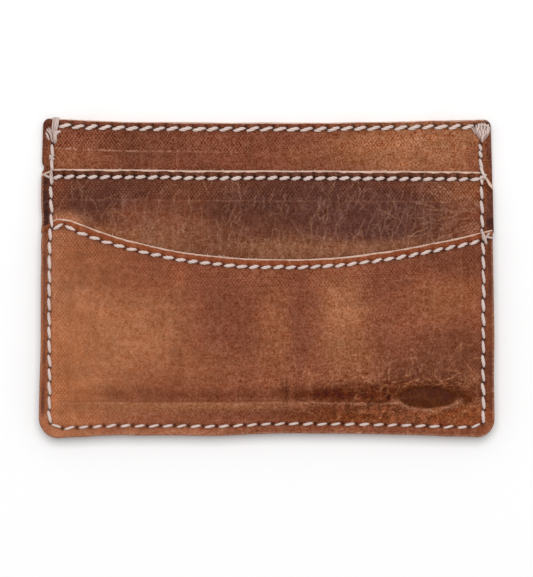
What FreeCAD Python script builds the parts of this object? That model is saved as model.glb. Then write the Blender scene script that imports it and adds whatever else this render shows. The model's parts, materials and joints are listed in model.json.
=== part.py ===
"""Slim leather card holder, lying on its rear face.

+X runs to the right, +Y to the mouths and +Z up through the thickness. The origin is at the bottom
centre of the whole. Four sheets of one leather are stacked and sewn together at both sides and along
the bottom. The rear panel is flat. Each sheet in front of it is a shallow tray: flat at the seam, where
it lies on the sheet below, and raised by one card gap more over its middle, so that a card fits between
any two sheets. Each mouth edge carries its own row of lockstitch, and a bar tack closes each top corner.
"""
import FreeCAD, Part

import math
import os

import Sketcher
from FreeCAD import Placement, Rotation, Vector

DRIVING_SIZES = {
    # leather and cards
    "leather_thickness": 1.0,
    "card_gap": 0.85,
    "card_width": 85.6,
    "card_side_play": 0.3,
    # outline: corner places, and how far each edge's middle stands off a straight line
    "top_half_width": 49.3,
    "bottom_half_width": 50.35,
    "bottom_left_depth": 35.75,
    "bottom_right_depth": 35.3,
    "side_bow": 0.35,
    "bottom_rise": 1.05,
    "bottom_left_radius": 5.7,
    "bottom_right_radius": 3.5,
    "top_corner_radius": 1.5,
    "uncut_height": 40.0,
    "past_side": 51.0,
    # mouths, as heights above the origin
    "top_left_height": 35.5,
    "top_right_height": 35.2,
    "top_dip": 1.05,
    "straight_left_height": 24.2,
    "straight_right_height": 23.6,
    "straight_dip": 0.1,
    "scoop_left_height": 13.1,
    "scoop_right_height": 10.7,
    "scoop_low_height": 4.1,
    "scoop_low_place": 7.0,
    "scoop_shoulder_place": -46.0,
    "scoop_left_power": 2.4,
    "scoop_right_power": 1.65,
    # where the sheets lie flat on each other, and where the flat pocket floor begins
    "land_half_width": 46.4,
    "land_depth": 31.3,
    "floor_depth": 27.9,
    # stitching
    "seam_inset": 2.1,
    "seam_pitch": 3.2,
    "seam_top_height": 29.6,
    "top_row_inset": 1.4,
    "top_row_pitch": 2.96,
    "straight_row_inset": 1.7,
    "straight_row_pitch": 2.67,
    "scoop_row_inset": 1.75,
    "scoop_row_pitch": 2.7,
    "thread_width": 0.6,
    "needle_thread_height": 0.45,
    "bobbin_thread_height": 0.38,
    "thread_bed_depth": 0.42,
    "thread_bed_play": 0.1,
    "needle_hole_radius": 0.5,
    "stitch_end_gap": 0.05,
    # bar tacks
    "tack_thread_width": 0.5,
    "tack_hole_radius": 0.38,
    "tack_loop_spacing": 0.85,
    "tack_loop_reach": 2.4,
    "tack_bar_spacing": 0.85,
    "tack_edge_clearance": 0.08,
    "left_tack_height": 32.1,
    "right_tack_height": 33.9,
}

LEFT_TACK_BARS = (2.6, 2.6, 2.6)
RIGHT_TACK_BARS = (3.6, 3.0, 2.4, 1.8)

SCOOP_POINTS_EACH_SIDE = 5
SEAM_SAMPLES = 600
CORNER_STEPS = 12

doc = FreeCAD.newDocument("card_holder")
sheet = doc.addObject("Spreadsheet::Sheet", "Sizes")
for row, (alias, value) in enumerate(DRIVING_SIZES.items(), start=1):
    sheet.set(f"A{row}", alias)
    sheet.set(f"B{row}", str(value))
    sheet.setAlias(f"B{row}", alias)
doc.recompute()


def size(alias):
    """A driving size, in millimetres."""
    return float(sheet.get(alias))


THICK = size("leather_thickness")
GAP = size("card_gap")
THREAD = size("thread_width")
CROWN_HALF_WIDTH = size("card_width") / 2 + size("card_side_play")
CROWN_HALF_WIDTH_TEXT = "(Sizes.card_width / 2 + Sizes.card_side_play)"


# ---------------------------------------------------------------- sketches and leather blanks


def origin_plane(body, role):
    return next(o for o in body.Origin.OriginFeatures if o.Role == role)


def flat_sketch(body, name, height_text):
    """An empty sketch of the body, level, at the height that the expression gives."""
    sketch = body.newObject("Sketcher::SketchObject", name)
    sketch.AttachmentSupport = [(origin_plane(body, "XY_Plane"), "")]
    sketch.MapMode = "FlatFace"
    sketch.setExpression("AttachmentOffset.Base.z", height_text)
    return sketch


def end_near(sketch, edge, point):
    """Which end of a sketch edge, 1 or 2, lies at the point."""
    gaps = [(sketch.getPoint(edge, end) - point).Length for end in (1, 2)]
    return 1 if gaps[0] < gaps[1] else 2


def evaluate(text):
    """The value of an expression over the driving sizes."""
    return float(sheet.evalExpression(text.replace("Sizes.", "")))


def bow_radius_text(start, end, bow):
    """The radius of an arc from its two ends and how far its middle stands off the chord."""
    half_chord_squared = f"((({end[0]}) - ({start[0]}))^2 + (({end[1]}) - ({start[1]}))^2) / 4"
    return f"({half_chord_squared} + ({bow})^2) / (2 * ({bow}))"


def draw_loop(sketch, corners, bows=None, curves=None):
    """Draw a closed loop through corners, each a pair of expressions that then drive it.

    bows turns edge n into an arc: {n: (expression, side)}, where side is 1 if the arc's middle lies to
    the left of the way from its first corner to its second. curves gives edge n a ready curve.
    """
    bows = bows or {}
    curves = curves or {}
    points = [Vector(evaluate(x), evaluate(y), 0) for x, y in corners]
    count = len(points)
    for n, start in enumerate(points):
        end = points[(n + 1) % count]
        if n in curves:
            sketch.addGeometry(curves[n])
            continue
        if n not in bows:
            sketch.addGeometry(Part.LineSegment(start, end))
            continue
        along = (end - start).normalize()
        left = Vector(-along.y, along.x, 0)
        middle = (start + end) / 2 + left * (evaluate(bows[n][0]) * bows[n][1])
        sketch.addGeometry(Part.Arc(start, middle, end))
    for n in range(count):
        after = (n + 1) % count
        corner = points[after]
        this_end = end_near(sketch, n, corner)
        next_end = end_near(sketch, after, corner)
        sketch.addConstraint(Sketcher.Constraint("Coincident", n, this_end, after, next_end))
    for n, (x, y) in enumerate(corners):
        end = end_near(sketch, n, points[n])
        for kind, text in (("DistanceX", x), ("DistanceY", y)):
            index = sketch.addConstraint(Sketcher.Constraint(kind, -1, 1, n, end, evaluate(text)))
            sketch.setExpression(f"Constraints[{index}]", text)
    for n, (bow, _) in bows.items():
        text = bow_radius_text(corners[n], corners[(n + 1) % count], bow)
        index = sketch.addConstraint(Sketcher.Constraint("Radius", n, evaluate(text)))
        sketch.setExpression(f"Constraints[{index}]", text)


def draw_outline(sketch):
    """The sheet's outline before its mouth is cut: bowed sides and a bottom edge that rises mid-way."""
    corners = [
        ("-Sizes.bottom_half_width", "-Sizes.bottom_left_depth"),
        ("Sizes.bottom_half_width", "-Sizes.bottom_right_depth"),
        ("Sizes.top_half_width", "Sizes.uncut_height"),
        ("-Sizes.top_half_width", "Sizes.uncut_height"),
    ]
    bows = {0: ("Sizes.bottom_rise", 1), 1: ("Sizes.side_bow", -1), 3: ("Sizes.side_bow", -1)}
    draw_loop(sketch, corners, bows)


def draw_tray_step(sketch, half_width_text, depth_text):
    """A rectangle that is open to the mouths: one step of a tray, seen from above."""
    draw_loop(
        sketch,
        [
            (f"-{half_width_text}", f"-{depth_text}"),
            (half_width_text, f"-{depth_text}"),
            (half_width_text, "Sizes.uncut_height"),
            (f"-{half_width_text}", "Sizes.uncut_height"),
        ],
    )


def scoop_height(x):
    """How high the scooped mouth edge is at x: two power curves that meet, level, at its low point."""
    low_place = size("scoop_low_place")
    side = "left" if x < low_place else "right"
    end_place = size("scoop_shoulder_place") if side == "left" else size("bottom_half_width")
    share = min(abs((x - low_place) / (end_place - low_place)), 1.0)
    rise = size(f"scoop_{side}_height") - size("scoop_low_height")
    return size("scoop_low_height") + rise * share ** size(f"scoop_{side}_power")


def bowed_height(x, left_text, right_text, dip_text):
    """The height of a mouth edge that runs from left to right with its middle a little low."""
    reach = size("past_side")
    share = (x + reach) / (2 * reach)
    straight = size(left_text) * (1 - share) + size(right_text) * share
    return straight - size(dip_text) * 4 * share * (1 - share)


def top_height(x):
    return bowed_height(x, "top_left_height", "top_right_height", "top_dip")


def straight_height(x):
    return bowed_height(x, "straight_left_height", "straight_right_height", "straight_dip")


def draw_bowed_mouth(sketch, left_text, right_text, dip_text):
    """Everything above a mouth edge that is one shallow arc."""
    draw_loop(
        sketch,
        [
            ("-Sizes.past_side", f"Sizes.{left_text}"),
            ("Sizes.past_side", f"Sizes.{right_text}"),
            ("Sizes.past_side", "Sizes.uncut_height + 1"),
            ("-Sizes.past_side", "Sizes.uncut_height + 1"),
        ],
        {0: (f"Sizes.{dip_text}", -1)},
    )


def draw_scoop_mouth(sketch):
    """Everything above the scooped mouth edge, which starts at a short level shoulder on the left."""
    shoulder = size("scoop_shoulder_place")
    low = size("scoop_low_place")
    right = size("past_side")
    each = SCOOP_POINTS_EACH_SIDE
    places = [shoulder + (low - shoulder) * n / each for n in range(each)]
    places += [low + (right - low) * n / each for n in range(each + 1)]
    curve = Part.BSplineCurve()
    curve.interpolate([Vector(x, scoop_height(x), 0) for x in places])
    draw_loop(
        sketch,
        [
            ("-Sizes.past_side", "Sizes.scoop_left_height"),
            ("Sizes.scoop_shoulder_place", "Sizes.scoop_left_height"),
            ("Sizes.past_side", "Sizes.scoop_right_height"),
            ("Sizes.past_side", "Sizes.uncut_height + 1"),
            ("-Sizes.past_side", "Sizes.uncut_height + 1"),
        ],
        curves={1: curve},
    )


def upright_edge_at(shape, x, y, reach):
    """The name of the upright edge nearest to a place, which must be within reach of it."""
    best = None
    for n, edge in enumerate(shape.Edges, start=1):
        ends = [v.Point for v in edge.Vertexes]
        if len(ends) != 2 or abs(ends[0].x - ends[1].x) + abs(ends[0].y - ends[1].y) > 1e-6:
            continue
        gap = math.hypot(ends[0].x - x, ends[0].y - y)
        if gap < reach and (best is None or gap < best[0]):
            best = (gap, f"Edge{n}")
    if best is None:
        raise RuntimeError(f"no upright edge near {x}, {y}")
    return best[1]


def round_corner(body, name, base, x, y, radius_alias):
    """Round one upright corner of the body."""
    doc.recompute()
    fillet = body.newObject("PartDesign::Fillet", name)
    fillet.Base = (base, [upright_edge_at(base.Shape, x, y, reach=1.0)])
    fillet.Radius = size(radius_alias)
    fillet.setExpression("Radius", f"Sizes.{radius_alias}")
    return fillet


def tray_loft(body, kind, name, land_height, crown_height):
    """A loft from the seam land's rectangle up to the crown's, which adds or removes material."""
    land = flat_sketch(body, f"{name}_land", land_height)
    draw_tray_step(land, "Sizes.land_half_width", "Sizes.land_depth")
    crown = flat_sketch(body, f"{name}_crown", crown_height)
    draw_tray_step(crown, CROWN_HALF_WIDTH_TEXT, "Sizes.floor_depth")
    doc.recompute()
    loft = body.newObject(kind, name)
    loft.Profile = land
    loft.Sections = [crown]
    loft.Ruled = True
    return loft


def leather_blank(name, layer, draw_mouth, rounded_top):
    """One sheet without its needle holes. Layer counts up from the rear panel, which is 0."""
    body = doc.addObject("PartDesign::Body", f"{name}_blank")
    flat_text = f"{layer} * Sizes.leather_thickness"
    raised_text = f"{layer} * (Sizes.leather_thickness + Sizes.card_gap)"
    outline = flat_sketch(body, f"{name}_outline", flat_text)
    draw_outline(outline)
    pad = body.newObject("PartDesign::Pad", f"{name}_sheet")
    pad.Profile = outline
    pad.Length = THICK
    pad.setExpression("Length", "Sizes.leather_thickness")
    left, right = -size("bottom_half_width"), size("bottom_half_width")
    low_left, low_right = -size("bottom_left_depth"), -size("bottom_right_depth")
    last = round_corner(body, f"{name}_bottom_left", pad, left, low_left, "bottom_left_radius")
    round_corner(body, f"{name}_bottom_right", last, right, low_right, "bottom_right_radius")
    if layer:
        top_land = f"{flat_text} + Sizes.leather_thickness"
        top_crown = f"{raised_text} + Sizes.leather_thickness"
        tray_loft(body, "PartDesign::AdditiveLoft", f"{name}_raised", top_land, top_crown)
        tray_loft(body, "PartDesign::SubtractiveLoft", f"{name}_hollow", flat_text, raised_text)
    mouth = flat_sketch(body, f"{name}_mouth", flat_text)
    draw_mouth(mouth)
    trim = body.newObject("PartDesign::Pocket", f"{name}_mouth_cut")
    trim.Profile = mouth
    trim.Type = "ThroughAll"
    trim.Midplane = True
    if rounded_top:
        corner = size("top_half_width")
        last = round_corner(body, f"{name}_top_left", trim, -corner, top_height(-corner), "top_corner_radius")
        round_corner(body, f"{name}_top_right", last, corner, top_height(corner), "top_corner_radius")
    doc.recompute()
    return body


# ---------------------------------------------------------------- stitches


def crown_share(x, y):
    """How far a tray has risen from its seam land, 0, to its crown, 1."""
    side = (size("land_half_width") - abs(x)) / (size("land_half_width") - CROWN_HALF_WIDTH)
    floor = (y + size("land_depth")) / (size("land_depth") - size("floor_depth"))
    return max(0.0, min(side, floor, 1.0))


def underside(layer, x, y):
    """The height of a sheet's underside."""
    return layer * (THICK + GAP * crown_share(x, y))


def spread(start, end, pitch):
    """Places from start to end in equal steps as near to the pitch as they come."""
    count = max(round(abs(end - start) / pitch), 1)
    return [start + (end - start) * n / count for n in range(count + 1)]


def row_places(end, pitch):
    """Needle places from -end to end, with one at each edge of the crown so no stitch bridges it."""
    inner = CROWN_HALF_WIDTH
    places = spread(-end, -inner, pitch) + spread(-inner, inner, pitch)[1:]
    return places + spread(inner, end, pitch)[1:]


def side_place(y):
    """Half the width of the sheets at a height, along the bowed side edge."""
    low = -(size("bottom_left_depth") + size("bottom_right_depth")) / 2
    share = (y - low) / (size("uncut_height") - low)
    straight = size("bottom_half_width") * (1 - share) + size("top_half_width") * share
    return straight + size("side_bow") * 4 * share * (1 - share)


def seam_route():
    """The side and bottom seam as one wire, from the top left down, across and up to the top right."""
    inset = size("seam_inset")
    top = size("seam_top_height")
    left_low = -size("bottom_left_depth") + inset
    right_low = -size("bottom_right_depth") + inset
    corner_left = Vector(-size("bottom_half_width") + inset, left_low, 0)
    corner_right = Vector(size("bottom_half_width") - inset, right_low, 0)
    top_left = Vector(-side_place(top) + inset, top, 0)
    top_right = Vector(side_place(top) - inset, top, 0)
    middle_y = (top + left_low) / 2
    left_middle = Vector(-side_place(middle_y) + inset, middle_y, 0)
    right_middle = Vector(side_place(middle_y) - inset, middle_y, 0)
    low_middle = Vector(0, (left_low + right_low) / 2 + size("bottom_rise"), 0)
    sides = [
        Part.Arc(top_left, left_middle, corner_left).toShape(),
        Part.Arc(corner_left, low_middle, corner_right).toShape(),
        Part.Arc(corner_right, right_middle, top_right).toShape(),
    ]
    points = []
    for side in sides:
        points += side.discretize(Number=SEAM_SAMPLES)
    points = smooth_corner(points, corner_left, size("bottom_left_radius") - inset)
    return smooth_corner(points, corner_right, size("bottom_right_radius") - inset)


def smooth_corner(points, corner, radius):
    """Replace the points within a radius of a corner by a curve that is tangent to both sides of it."""
    kept = [p for p in points if (p - corner).Length > radius]
    split = next(n for n in range(1, len(kept)) if (kept[n] - kept[n - 1]).Length > radius)
    start, end = kept[split - 1], kept[split]
    blend = []
    for n in range(1, CORNER_STEPS):
        share = n / CORNER_STEPS
        a = start + (corner - start) * share
        b = corner + (end - corner) * share
        blend.append(a + (b - a) * share)
    return kept[:split] + blend + kept[split:]


def even_points(points, pitch):
    """Points at equal steps along a dense line of points."""
    lengths = [0.0]
    for before, after in zip(points, points[1:]):
        lengths.append(lengths[-1] + (after - before).Length)
    found = []
    n = 0
    for target in spread(0.0, lengths[-1], pitch):
        while n < len(lengths) - 2 and lengths[n + 1] < target:
            n += 1
        step = lengths[n + 1] - lengths[n]
        share = min(max((target - lengths[n]) / step, 0.0), 1.0) if step else 0.0
        found.append(points[n] + (points[n + 1] - points[n]) * share)
    return found


def sheets_at(x, y):
    """How many sheets the side seam goes through at a place."""
    return 2 + (y < straight_height(x)) + (y < seam_scoop_height(x))


def seam_scoop_height(x):
    """The scooped edge's height, with its level shoulder."""
    return size("scoop_left_height") if x < size("scoop_shoulder_place") else scoop_height(x)


def prism(start, end, width, profile):
    """A solid from a profile of (share along, height) pairs, extruded sideways about the run."""
    along = end - start
    along.z = 0
    across = Vector(-along.y, along.x, 0).normalize()
    corners = [start + along * share - across * (width / 2) for share, _ in profile]
    for corner, (_, height) in zip(corners, profile):
        corner.z = height
    face = Part.Face(Part.makePolygon(corners + corners[:1]))
    solid = face.extrude(across * width)
    return solid if solid.Volume > 0 else solid.reversed()


def stitch(start, end, width, foot, bar_low, bar_high):
    """One stitch: a bar from hole to hole with a leg at each end, which stops at height foot.

    foot, bar_low and bar_high are pairs: the height at the start and at the end. The bar may lie above
    or below the foot, so the same form serves the needle thread and the bobbin thread.
    """
    run = math.hypot(end.x - start.x, end.y - start.y)
    gap = size("stitch_end_gap") / run
    leg = (width - size("stitch_end_gap")) / 2 / run + gap
    return prism(
        start,
        end,
        width,
        [
            (gap, foot[0]),
            (gap, bar_high[0]),
            (1 - gap, bar_high[1]),
            (1 - gap, foot[1]),
            (1 - leg, foot[1]),
            (1 - leg, bar_low[1]),
            (leg, bar_low[0]),
            (leg, foot[0]),
        ],
    )


def bed(start, end, width, low, high):
    """The shallow recess that a sunk stitch lies in. low and high are pairs of heights."""
    run = math.hypot(end.x - start.x, end.y - start.y)
    gap = size("stitch_end_gap") / 2 / run
    profile = [(gap, low[0]), (gap, high[0]), (1 - gap, high[1]), (1 - gap, low[1])]
    return prism(start, end, width + 2 * size("thread_bed_play"), profile)


def hole(place, radius):
    """A needle hole right through the stack."""
    height = size("uncut_height")
    return Part.makeCylinder(radius, 2 * height, Vector(place.x, place.y, -height))


def solid_group(name, solids):
    """Several solids as one object of the document."""
    group = doc.addObject("Part::Feature", name)
    group.Label = name
    group.Shape = Part.makeCompound(solids)
    return group


class Row:
    """A row of lockstitch along one mouth edge, through one sheet."""

    def __init__(self, name, layer, height, inset_alias, pitch_alias, end):
        inset = size(inset_alias)
        self.name = name
        self.layer = layer
        self.places = [Vector(x, height(x) - inset, 0) for x in row_places(end, size(pitch_alias))]

    def stitches(self):
        return list(zip(self.places, self.places[1:]))

    def sheet_heights(self, start, end):
        low = [underside(self.layer, p.x, p.y) for p in (start, end)]
        return low, [h + THICK for h in low]

    def needle(self, sunk):
        """The outer thread: proud of the top, or sunk into the underside of the rear panel."""
        return [self.one(start, end, below=sunk, sunk=sunk) for start, end in self.stitches()]

    def bobbin(self, above):
        """The inner thread, always sunk, under its sheet or on top of the rear panel."""
        return [self.one(start, end, below=not above, sunk=True) for start, end in self.stitches()]

    def one(self, start, end, below, sunk):
        low, high = self.sheet_heights(start, end)
        foot = [h + THICK / 2 for h in low]
        tall = size("bobbin_thread_height" if sunk else "needle_thread_height")
        if below:
            foot = [h - size("stitch_end_gap") / 2 for h in foot]
            return stitch(start, end, THREAD, foot, [h + tall for h in low], low)
        foot = [h + size("stitch_end_gap") / 2 for h in foot]
        base = [h - tall for h in high] if sunk else high
        return stitch(start, end, THREAD, foot, base, [h + tall for h in base])

    def beds(self, above, under):
        depth = size("thread_bed_depth")
        found = []
        for start, end in self.stitches():
            low, high = self.sheet_heights(start, end)
            if under:
                found.append(bed(start, end, THREAD, [h - depth for h in low], [h + depth for h in low]))
            if above:
                found.append(bed(start, end, THREAD, [h - depth for h in high], [h + depth for h in high]))
        return found


class Seam:
    """The lockstitch seam down the left side, along the bottom and up the right side."""

    def __init__(self):
        self.places = even_points(seam_route(), size("seam_pitch"))

    def stitches(self):
        return list(zip(self.places, self.places[1:]))

    def needle(self):
        tall = size("needle_thread_height")
        found = []
        for start, end in self.stitches():
            tops = [sheets_at(p.x, p.y) * THICK for p in (start, end)]
            foot = [h / 2 + size("stitch_end_gap") / 2 for h in tops]
            level = max(tops)
            found.append(stitch(start, end, THREAD, foot, [level, level], [level + tall, level + tall]))
        return found

    def bobbin(self):
        tall = size("bobbin_thread_height")
        found = []
        for start, end in self.stitches():
            foot = [sheets_at(p.x, p.y) * THICK / 2 - size("stitch_end_gap") / 2 for p in (start, end)]
            found.append(stitch(start, end, THREAD, foot, [tall, tall], [0.0, 0.0]))
        return found

    def beds(self):
        depth = size("thread_bed_depth")
        return [bed(start, end, THREAD, [-depth, -depth], [depth, depth]) for start, end in self.stitches()]


# ---------------------------------------------------------------- bar tacks


def tack_loop(x):
    """A thread loop through both panels and over their top edge, flush with the rear face."""
    wide = size("tack_thread_width")
    edge = top_height(x) + size("tack_edge_clearance")
    low = edge - size("tack_loop_reach")
    top = 2 * THICK
    tall = size("needle_thread_height")
    sunk = size("bobbin_thread_height")
    outer = Part.makeBox(wide, edge + wide - low, top + tall, Vector(x - wide / 2, low, 0))
    inner = Part.makeBox(wide, edge - low - wide, top - sunk, Vector(x - wide / 2, low + wide, sunk))
    return outer.cut(inner)


def tack_bar(x, y, length):
    """A cross stitch of a bar tack, through both panels, with its underside run sunk flush."""
    start, end = Vector(x - length / 2, y, 0), Vector(x + length / 2, y, 0)
    wide = size("tack_thread_width")
    top = 2 * THICK
    tall = size("needle_thread_height")
    sunk = size("bobbin_thread_height")
    return [
        stitch(start, end, wide, [THICK, THICK], [top, top], [top + tall, top + tall]),
        stitch(start, end, wide, [THICK, THICK], [sunk, sunk], [0.0, 0.0]),
    ]


class Tack:
    """A bar tack: loops over the top edge, and a ladder of cross stitches below them."""

    def __init__(self, x, loops, top_y, bar_lengths):
        spacing = size("tack_loop_spacing")
        self.loop_places = [x + spacing * (n - (loops - 1) / 2) for n in range(loops)]
        step = size("tack_bar_spacing")
        self.bars = [(x, top_y - step * n, length) for n, length in enumerate(bar_lengths)]

    def solids(self):
        found = [tack_loop(x) for x in self.loop_places]
        for x, y, length in self.bars:
            found += tack_bar(x, y, length)
        return found

    def holes(self):
        radius = size("tack_hole_radius")
        wide = size("tack_thread_width")
        found = []
        for x in self.loop_places:
            low = top_height(x) + size("tack_edge_clearance") - size("tack_loop_reach")
            found.append(hole(Vector(x, low + wide / 2, 0), radius))
        shift = (wide + size("stitch_end_gap")) / 4
        for x, y, length in self.bars:
            for side in (-1, 1):
                found.append(hole(Vector(x + side * (length / 2 - shift), y, 0), radius))
        return found

    def beds(self):
        depth = size("thread_bed_depth")
        wide = size("tack_thread_width")
        levels = ([-depth, -depth], [depth, depth])
        found = []
        for x in self.loop_places:
            edge = top_height(x)
            low = edge + size("tack_edge_clearance") - size("tack_loop_reach")
            found.append(bed(Vector(x, low + wide / 2, 0), Vector(x, edge + 1, 0), wide, *levels))
        for x, y, length in self.bars:
            start, end = Vector(x - length / 2, y, 0), Vector(x + length / 2, y, 0)
            found.append(bed(start, end, wide, *levels))
        return found


# ---------------------------------------------------------------- the assembly


def sewn_sheet(name, blank, holes, beds):
    """A leather sheet with its needle holes and the recesses that its sunk stitches lie in."""
    punched = doc.addObject("Part::Cut", f"{name}_punched")
    punched.Base = blank
    punched.Tool = solid_group(f"{name}_needle_holes", holes)
    sheet_object = punched
    if beds:
        sheet_object = doc.addObject("Part::Cut", f"{name}_bedded")
        sheet_object.Base = punched
        sheet_object.Tool = solid_group(f"{name}_thread_beds", beds)
    sheet_object.Label = name
    return sheet_object


def top_mouth(sketch):
    draw_bowed_mouth(sketch, "top_left_height", "top_right_height", "top_dip")


def straight_mouth(sketch):
    draw_bowed_mouth(sketch, "straight_left_height", "straight_right_height", "straight_dip")


row_end = size("land_half_width") - 2 * THREAD
seam = Seam()
rear_row = Row("rear_mouth", 0, top_height, "top_row_inset", "top_row_pitch", row_end)
front_row = Row("front_mouth", 1, top_height, "top_row_inset", "top_row_pitch", row_end)
straight_row = Row("straight_mouth", 2, straight_height, "straight_row_inset", "straight_row_pitch", row_end)
scoop_row = Row("scoop_mouth", 3, scoop_height, "scoop_row_inset", "scoop_row_pitch", row_end)
tack_place = size("top_half_width") - size("seam_inset")
left_tack = Tack(-tack_place, loops=3, top_y=size("left_tack_height"), bar_lengths=LEFT_TACK_BARS)
right_tack = Tack(tack_place, loops=0, top_y=size("right_tack_height"), bar_lengths=RIGHT_TACK_BARS)

hole_radius = size("needle_hole_radius")
seam_holes = [hole(p, hole_radius) for p in seam.places]
tack_holes = left_tack.holes() + right_tack.holes()
tack_beds = left_tack.beds() + right_tack.beds()


def row_holes(row):
    return [hole(p, hole_radius) for p in row.places]


pieces = [
    sewn_sheet(
        "rear_panel",
        leather_blank("rear_panel", 0, top_mouth, rounded_top=True),
        seam_holes + tack_holes + row_holes(rear_row),
        seam.beds() + tack_beds + rear_row.beds(above=True, under=True),
    ),
    sewn_sheet(
        "front_panel",
        leather_blank("front_panel", 1, top_mouth, rounded_top=True),
        seam_holes + tack_holes + row_holes(front_row),
        front_row.beds(above=False, under=True),
    ),
    sewn_sheet(
        "straight_pocket",
        leather_blank("straight_pocket", 2, straight_mouth, rounded_top=False),
        seam_holes + row_holes(straight_row),
        straight_row.beds(above=False, under=True),
    ),
    sewn_sheet(
        "scoop_pocket",
        leather_blank("scoop_pocket", 3, draw_scoop_mouth, rounded_top=False),
        seam_holes + row_holes(scoop_row),
        scoop_row.beds(above=False, under=True),
    ),
    solid_group("rear_mouth_needle_thread", rear_row.needle(sunk=True)),
    solid_group("rear_mouth_bobbin_thread", rear_row.bobbin(above=True)),
    solid_group("side_seam_needle_thread", seam.needle()),
    solid_group("side_seam_bobbin_thread", seam.bobbin()),
    solid_group("left_bar_tack", left_tack.solids()),
    solid_group("right_bar_tack", right_tack.solids()),
]
for row in (front_row, straight_row, scoop_row):
    pieces.append(solid_group(f"{row.name}_needle_thread", row.needle(sunk=False)))
    pieces.append(solid_group(f"{row.name}_bobbin_thread", row.bobbin(above=False)))

doc.recompute()
for item in doc.Objects:
    if "Invalid" in item.State or "Error" in item.State:
        raise RuntimeError(f"{item.Name} failed: {item.State}")
for piece in pieces:
    if piece.Shape.isNull() or not piece.Shape.isValid() or piece.Shape.Volume <= 0:
        raise RuntimeError(f"{piece.Label} has no valid shape")

os.makedirs("parts", exist_ok=True)
for piece in pieces:
    piece.Shape.exportStep(f"parts/{piece.Label}.step")
    box = piece.Shape.BoundBox
    print(
        f"{piece.Label}: {len(piece.Shape.Solids)} solids, {piece.Shape.Volume:.1f} mm3, "
        f"z {box.ZMin:.2f} to {box.ZMax:.2f}"
    )
whole = Part.makeCompound([piece.Shape for piece in pieces]).BoundBox
print(f"whole: {whole.XLength:.2f} by {whole.YLength:.2f} by {whole.ZLength:.2f} mm, loosely boxed")
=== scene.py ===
"""Card holder: the visual model of a slim leather card holder, on a plain pale floor.

Every length in this script is in millimetres until make_mesh turns it into metres. X runs to the right
and y runs up the holder as it lies, both from the CAD's origin. Each leather sheet is a grid that follows
its own outline. Its outer face carries the relief and the tones, and its inner face is plain. Each thread
is a twisted strand that dips into its needle holes.
"""
import json
import math

import bpy
import numpy as np
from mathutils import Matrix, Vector

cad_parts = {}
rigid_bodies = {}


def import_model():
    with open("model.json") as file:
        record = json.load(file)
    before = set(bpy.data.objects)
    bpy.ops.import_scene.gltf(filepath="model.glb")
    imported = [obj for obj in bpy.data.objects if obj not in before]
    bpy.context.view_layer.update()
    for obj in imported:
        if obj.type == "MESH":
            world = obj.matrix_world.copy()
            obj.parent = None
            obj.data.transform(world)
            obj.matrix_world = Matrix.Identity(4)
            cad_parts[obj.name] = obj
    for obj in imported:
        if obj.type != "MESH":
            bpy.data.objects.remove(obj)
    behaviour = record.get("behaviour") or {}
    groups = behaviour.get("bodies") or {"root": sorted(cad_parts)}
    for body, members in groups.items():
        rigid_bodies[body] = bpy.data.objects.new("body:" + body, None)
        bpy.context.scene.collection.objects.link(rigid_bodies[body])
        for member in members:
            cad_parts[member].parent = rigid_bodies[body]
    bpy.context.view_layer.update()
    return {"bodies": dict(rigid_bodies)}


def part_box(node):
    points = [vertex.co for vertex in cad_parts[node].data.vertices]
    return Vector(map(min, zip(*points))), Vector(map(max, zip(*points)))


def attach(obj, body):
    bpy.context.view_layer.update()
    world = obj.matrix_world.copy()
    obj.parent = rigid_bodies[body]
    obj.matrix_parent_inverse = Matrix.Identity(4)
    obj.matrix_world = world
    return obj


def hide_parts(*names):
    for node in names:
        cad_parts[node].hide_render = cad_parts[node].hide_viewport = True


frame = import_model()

BODY = next(iter(frame["bodies"]))


def node_box(node):
    """A CAD node's low and high corners, in millimetres."""
    low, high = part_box(node)
    return np.array(low) * 1000, np.array(high) * 1000


# ---------------------------------------------------------------- sizes, in millimetres

REAR_LOW, REAR_HIGH = node_box("rear_panel")
FRONT_HIGH = node_box("front_panel")[1]
THICK = REAR_HIGH[2] - REAR_LOW[2]
GAP = FRONT_HIGH[2] - 2 * THICK

# outline
TOP_HALF_WIDTH = 49.3
BOTTOM_HALF_WIDTH = 50.2
UNCUT_HEIGHT = 40.0
SIDE_BOW = 0.35
BOTTOM_LEFT_DEPTH = 35.75
BOTTOM_RIGHT_DEPTH = 35.3
BOTTOM_RISE = 1.05
BOTTOM_LEFT_RADIUS = 4.8
BOTTOM_RIGHT_RADIUS = 4.1
TOP_RADIUS = 1.5
PAST_SIDE = 51.0

# the scoop pocket's mouth
SCOOP_LOW_PLACE = 7.0
SCOOP_LOW_HEIGHT = 4.1
SCOOP_LEFT_HEIGHT = 13.1
SCOOP_RIGHT_HEIGHT = 10.7
SCOOP_SHOULDER = -44.6
SCOOP_LEFT_POWER = 2.4
SCOOP_RIGHT_POWER = 1.65

# the card gaps: shut at the land, fully open over the crown. Depths are below the origin
LAND_HALF_WIDTH = 46.8
CROWN_HALF_WIDTH = 40.0
LAND_DEPTH = 31.7
CROWN_DEPTH = 26.6
CARD_HALF_WIDTH = 42.8
CARD_DEPTH = 27.7

# stitch lines and edges
SEAM_INSET = 2.1
SEAM_PITCH = 3.09
SEAM_TOP = 29.9
MOUTH_ROW_END = 46.2
TOP_PITCH = 2.96
TOP_ROW_INSET = 1.45
STRAIGHT_ROW_INSET = 1.7
SCOOP_ROW_INSET = 1.75
EDGE_ROUNDING = 0.34
HOLE_RADIUS = 0.38
PALE_FROM = -47.4
FOOT_MARK_WIDTH = 5.0
STAMP_PLACE = (35.6, -26.4)
STAMP_HALF_SIZE = (6.4, 2.35)


# ---------------------------------------------------------------- smooth noise

TABLE_SIZE = 4096
HASH_PRIMES = (73856093, 19349663)


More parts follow.
